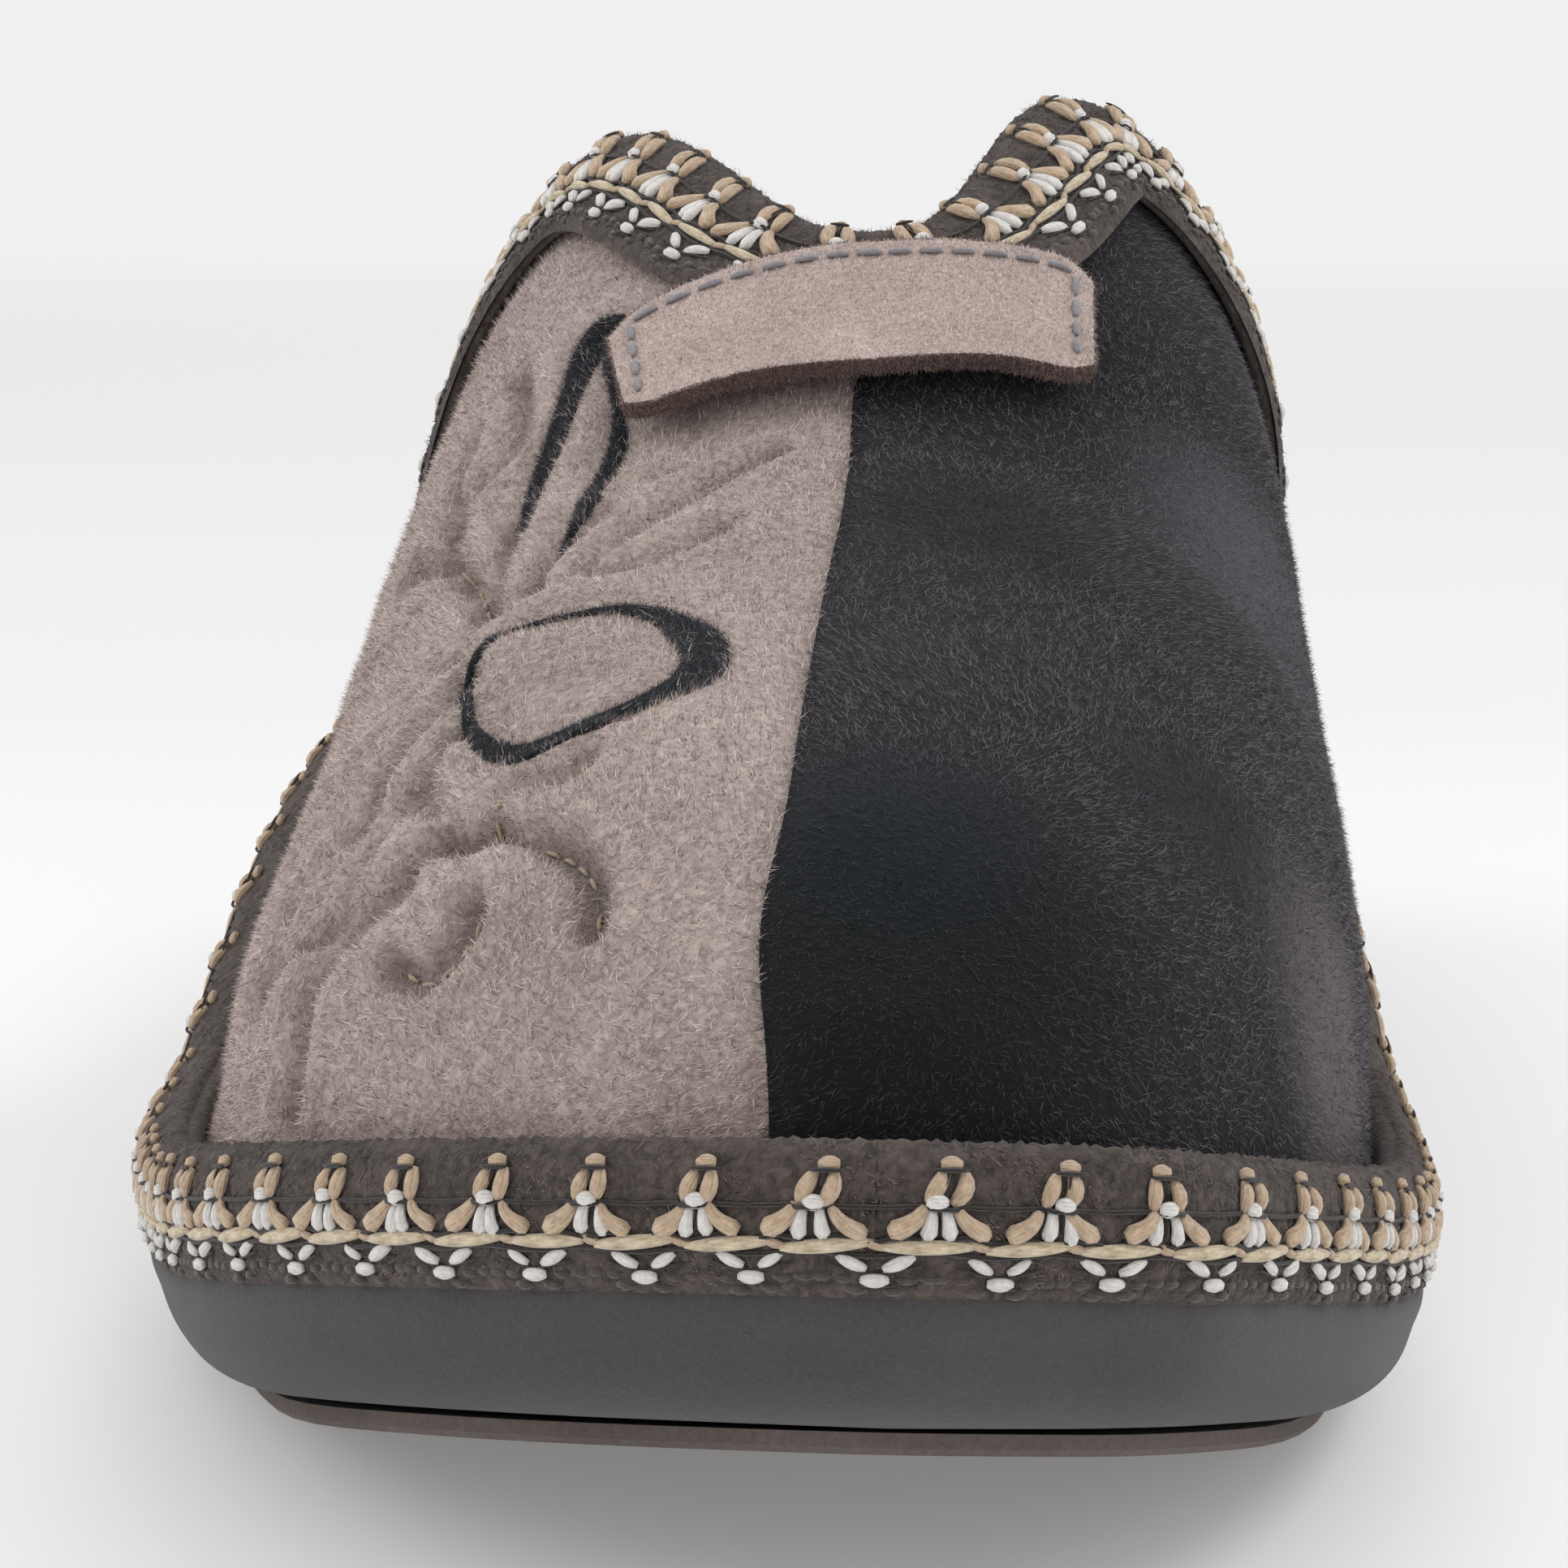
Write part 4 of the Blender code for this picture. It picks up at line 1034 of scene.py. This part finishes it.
# Place and normal on the felt: u goes across from the outer end, v back from the front edge
def tabPlace(u, v):
    outer = tab["outer"] + 1.2 * v - 1.4 * (1 - v)
    inner = tab["inner"] - 0.6
    side = -outer + u * (outer + inner)
    endGap = min(side + outer, inner - side)
    cut = tab["corner"] * max(0, 1 - endGap / tab["corner"]) ** 2 * 0.6
    along = cut + (tab["along"] - 2 * cut) * v + tab["skew"] * (u - 0.5)
    wave = 0.5 * math.sin(u * 8.5 + 0.6) * (1 - v) ** 2 - tab["droop"] * max(0, 1 - 2 * u) ** 1.6
    depth = (tab["front"] + along + wave) * mm - (vampToe - toeY)
    arounds = np.linspace(0.05, 0.95, 181)
    run = runAlong(vampPoint(np.full(181, depth), arounds))
    around = np.interp(np.interp(0.5, arounds, run) + side * mm, run, arounds)
    return vampPoint(depth, around), vampSlopes(np.array([depth]), np.array([around]))[2][0]


def tabPoint(u, v, lift):
    spot, normal = tabPlace(u, v)
    flare = 0.5 * (1 - v) ** 3
    return spot + ribbonOut * normal + normal * (tab["hover"] + flare + lift) * mm, normal


def tabGrid(across, rows, lift):
    return np.array([[tabPoint(u, v, lift)[0] for u in np.linspace(0, 1, across)]
                     for v in np.linspace(0, 1, rows)])


def buildTab():
    points = tabGrid(tab["across"] + 1, tab["rows"] + 1, 0.1)
    piece = makePiece("suede_tab", points.reshape(-1, 3), gridFaces(*points.shape[:2]))
    if sum(face.normal.z for face in piece.data.polygons) < 0:
        piece.data.flip_normals()
    sheet = piece.modifiers.new("sheet", "SOLIDIFY")
    sheet.thickness = (tab["thickness"] - 0.2) * mm
    sheet.offset = 1
    sheet.use_even_offset = True
    edge = piece.modifiers.new("edge", "BEVEL")
    edge.width = 0.25 * mm
    edge.segments = 2
    edge.limit_method = "ANGLE"
    applyModifiers(piece)
    finishPiece(piece, cloths["suede"], "throat_tab")
    piece.data.materials.append(cloths["suedeEdge"])
    tops = [Vector(tabPlace(u, 0.5)[1]) for u in (0.5, 0.1, 0.9)]
    for face in piece.data.polygons:
        if max(face.normal @ top for top in tops) < 0.55:
            face.material_index = 1


def sewTab():  # running stitches along both ends and the back
    threads = Bundle()
    sideRun = tab["outer"] + tab["inner"]
    hemU, hemV = tab["hem"] / sideRun, 1 - tab["hem"] / tab["along"]
    line = [(hemU, 0.12), (hemU, hemV), (1 - hemU, hemV), (1 - hemU, 0.12)]
    lift = tab["thickness"] + 0.1 + 0.12 * np.sin(np.linspace(0, np.pi, 6))
    for (u0, v0), (u1, v1) in zip(line, line[1:]):
        long = math.hypot((u1 - u0) * sideRun, (v1 - v0) * tab["along"])
        count = max(1, int(long / (tab["stitchLong"] + tab["stitchGap"])))
        for k in range(count):
            shares = np.linspace((k + 0.14) / count, (k + 0.86) / count, 6)
            made = [tabPoint(u0 + (u1 - u0) * s, v0 + (v1 - v0) * s, h) for s, h in zip(shares, lift)]
            threads.add([m[0] for m in made], fat(6, 0.36 * mm), np.array([m[1] for m in made]))
    threads.piece("tab_stitches", yarns["tabThread"], "suede")


def roughenTab():  # loose fibres on the cut edges and a short nap on top
    torn = fibreMaterial("cut_edge_fibre", (150, 128, 122), (58, 45, 42))
    ends = np.linspace(0, 1, 60)
    tracks = ([(u, 0.0) for u in ends], [(0.0, v) for v in ends], [(1.0, v) for v in ends],
              [(u, 1.0) for u in ends])
    for number, (track, count) in enumerate(zip(tracks, (5000, 2000, 2000, 5000)), 1):
        heights = np.linspace(0.1, tab["thickness"], 4)
        band = np.array([[tabPoint(u, v, height)[0] for u, v in track] for height in heights])
        outward = band[1, 30] - tabPoint(0.5, 0.5, 1.0)[0]
        if np.cross(band[1, 31] - band[1, 30], band[2, 30] - band[1, 30]) @ outward < 0:
            band = band[:, ::-1]
        growNap("cut_edge_%d" % number, band, torn, count, (0.3, 0.8), 0.09, 0.9)
    suedeFibre = fibreMaterial("suede_fibre", (246, 227, 219), (140, 122, 116))
    top = tabGrid(40, 16, tab["thickness"] - 0.1)
    growNap("suede_nap", top, suedeFibre, 30000, (0.25, 0.7), 0.09, 0.8)


buildTab()
sewTab()
roughenTab()
print("tab made")


# Quilting thread shows here and there in the troughs
quiltThread = {"step": 1.9, "missing": 0.15, "radius": 0.19}


def sewQuilting():
    threads = Bundle()
    rise = (0.12 + 0.2 * np.sin(np.linspace(0, np.pi, 5)))[:, None] * mm
    for _, _, threaded, spots in troughs:
        if not threaded:
            continue
        run = runAlong(spots)
        count = int(run[-1] / (quiltThread["step"] * mm))
        for k in range(count):
            if rng.random() < quiltThread["missing"]:
                continue
            places = np.linspace((k + 0.1) / count, (k + 0.82) / count, 5) * run[-1]
            path = np.stack([np.interp(places, run, spots[:, axis]) for axis in range(3)], -1)
            out = towardsEye(np.array(plainTree.find_nearest(Vector(path[2]))[1]), path[2])
            made = [lightTree.ray_cast(Vector(p + 2 * mm * out), Vector(-out))[0] for p in path]
            if all(spot is not None for spot in made):
                radii = fat(5, quiltThread["radius"] * mm)
                threads.add(np.array(made) + out * rise, radii, np.tile(out, (5, 1)), sides=5)
    threads.piece("quilting_stitches", yarns["seamTan"], "felt")


sewQuilting()


# Sole
wedgeCover = copyOfNode("wedge_cover", "wedge", 2)
finishPiece(wedgeCover, cloths["soleCover"], "wedge")
outsoleSheet = copyOfNode("outsole_sheet", "outsole", 0)
finishPiece(outsoleSheet, cloths["outsole"], "outsole", smooth=False)
insolePad = copyOfNode("insole_pad", "insole", 2)
finishPiece(insolePad, cloths["insole"], "insole")
print("sole made")


# Floor, light and camera
stage = {"paper": 0.8, "glow": 0.174, "sky": 0.87, "aim": (0, 0, 0.04), "nearest": -0.1, "farthest": 2.3}
glowStops = ((0.02, 1.0), (0.09, 0.45), (0.17, 0.0), (0.42, 0.3), (0.85, 1.0))  # along the floor
lamps = {  # place, size, power
    "key": ((0.65, 0.0, 0.75), 0.35, 2.4), "left": ((-0.9, -0.05, 0.55), 0.6, 2.4),
    "back": ((0.0, 0.9, 0.8), 0.9, 0.25)}


def makePaper():  # the floor glows a little nearby and far off, so that it stays as pale as the sky
    paper, tree, shader = newMaterial("paper", 0.9, 0.0)
    shader.inputs["Base Color"].default_value = (stage["paper"],) * 3 + (1,)
    shader.inputs["Emission Strength"].default_value = stage["glow"]
    place, split = addNode(tree, "TexCoord"), addNode(tree, "SeparateXYZ")
    depth = addNode(tree, "MapRange", {"From Min": stage["nearest"], "From Max": stage["farthest"]})
    ramp = addNode(tree, "ValToRGB")
    stops = ramp.color_ramp.elements
    for position, share in glowStops:
        stops.new(position).color = (share, share, share, 1)
    stops.remove(stops[-1])
    stops.remove(stops[0])
    linkUp(tree, (place, "Object", split, "Vector"), (split, "Y", depth, "Value"),
           (depth, "Result", ramp, "Fac"), (ramp, "Color", shader, "Emission Color"))
    return paper


def makeStage():
    deselectAll()
    bpy.ops.mesh.primitive_plane_add(size=80, location=(0, 0, -0.0002))
    floor = bpy.context.object
    floor.name = "floor"
    floor.data.materials.append(makePaper())
    for name, (place, size, power) in lamps.items():
        lamp = bpy.data.lights.new(name, "AREA")
        lamp.energy = power
        lamp.size = size
        lampObject = bpy.data.objects.new(name, lamp)
        lampObject.location = place
        aim = Vector(stage["aim"]) - Vector(place)
        lampObject.rotation_euler = aim.to_track_quat("-Z", "Y").to_euler()
        bpy.context.scene.collection.objects.link(lampObject)
    world = bpy.data.worlds.new("studio")
    world.use_nodes = True
    world.node_tree.nodes["Background"].inputs["Color"].default_value = (1, 1, 1, 1)
    world.node_tree.nodes["Background"].inputs["Strength"].default_value = stage["sky"]
    bpy.context.scene.world = world
    bpy.context.scene.view_settings.view_transform = "Standard"
    data = bpy.data.cameras.new("camera")
    data.sensor_width = 36
    data.lens = camera["focal"] / camera["picture"] * 36
    data.clip_start = 0.01
    shot = bpy.data.objects.new("camera", data)
    shot.location = camera["place"]
    shot.rotation_euler = (math.radians(90 - camera["pitch"]), 0, yaw)
    bpy.context.scene.collection.objects.link(shot)
    bpy.context.scene.camera = shot


makeStage()
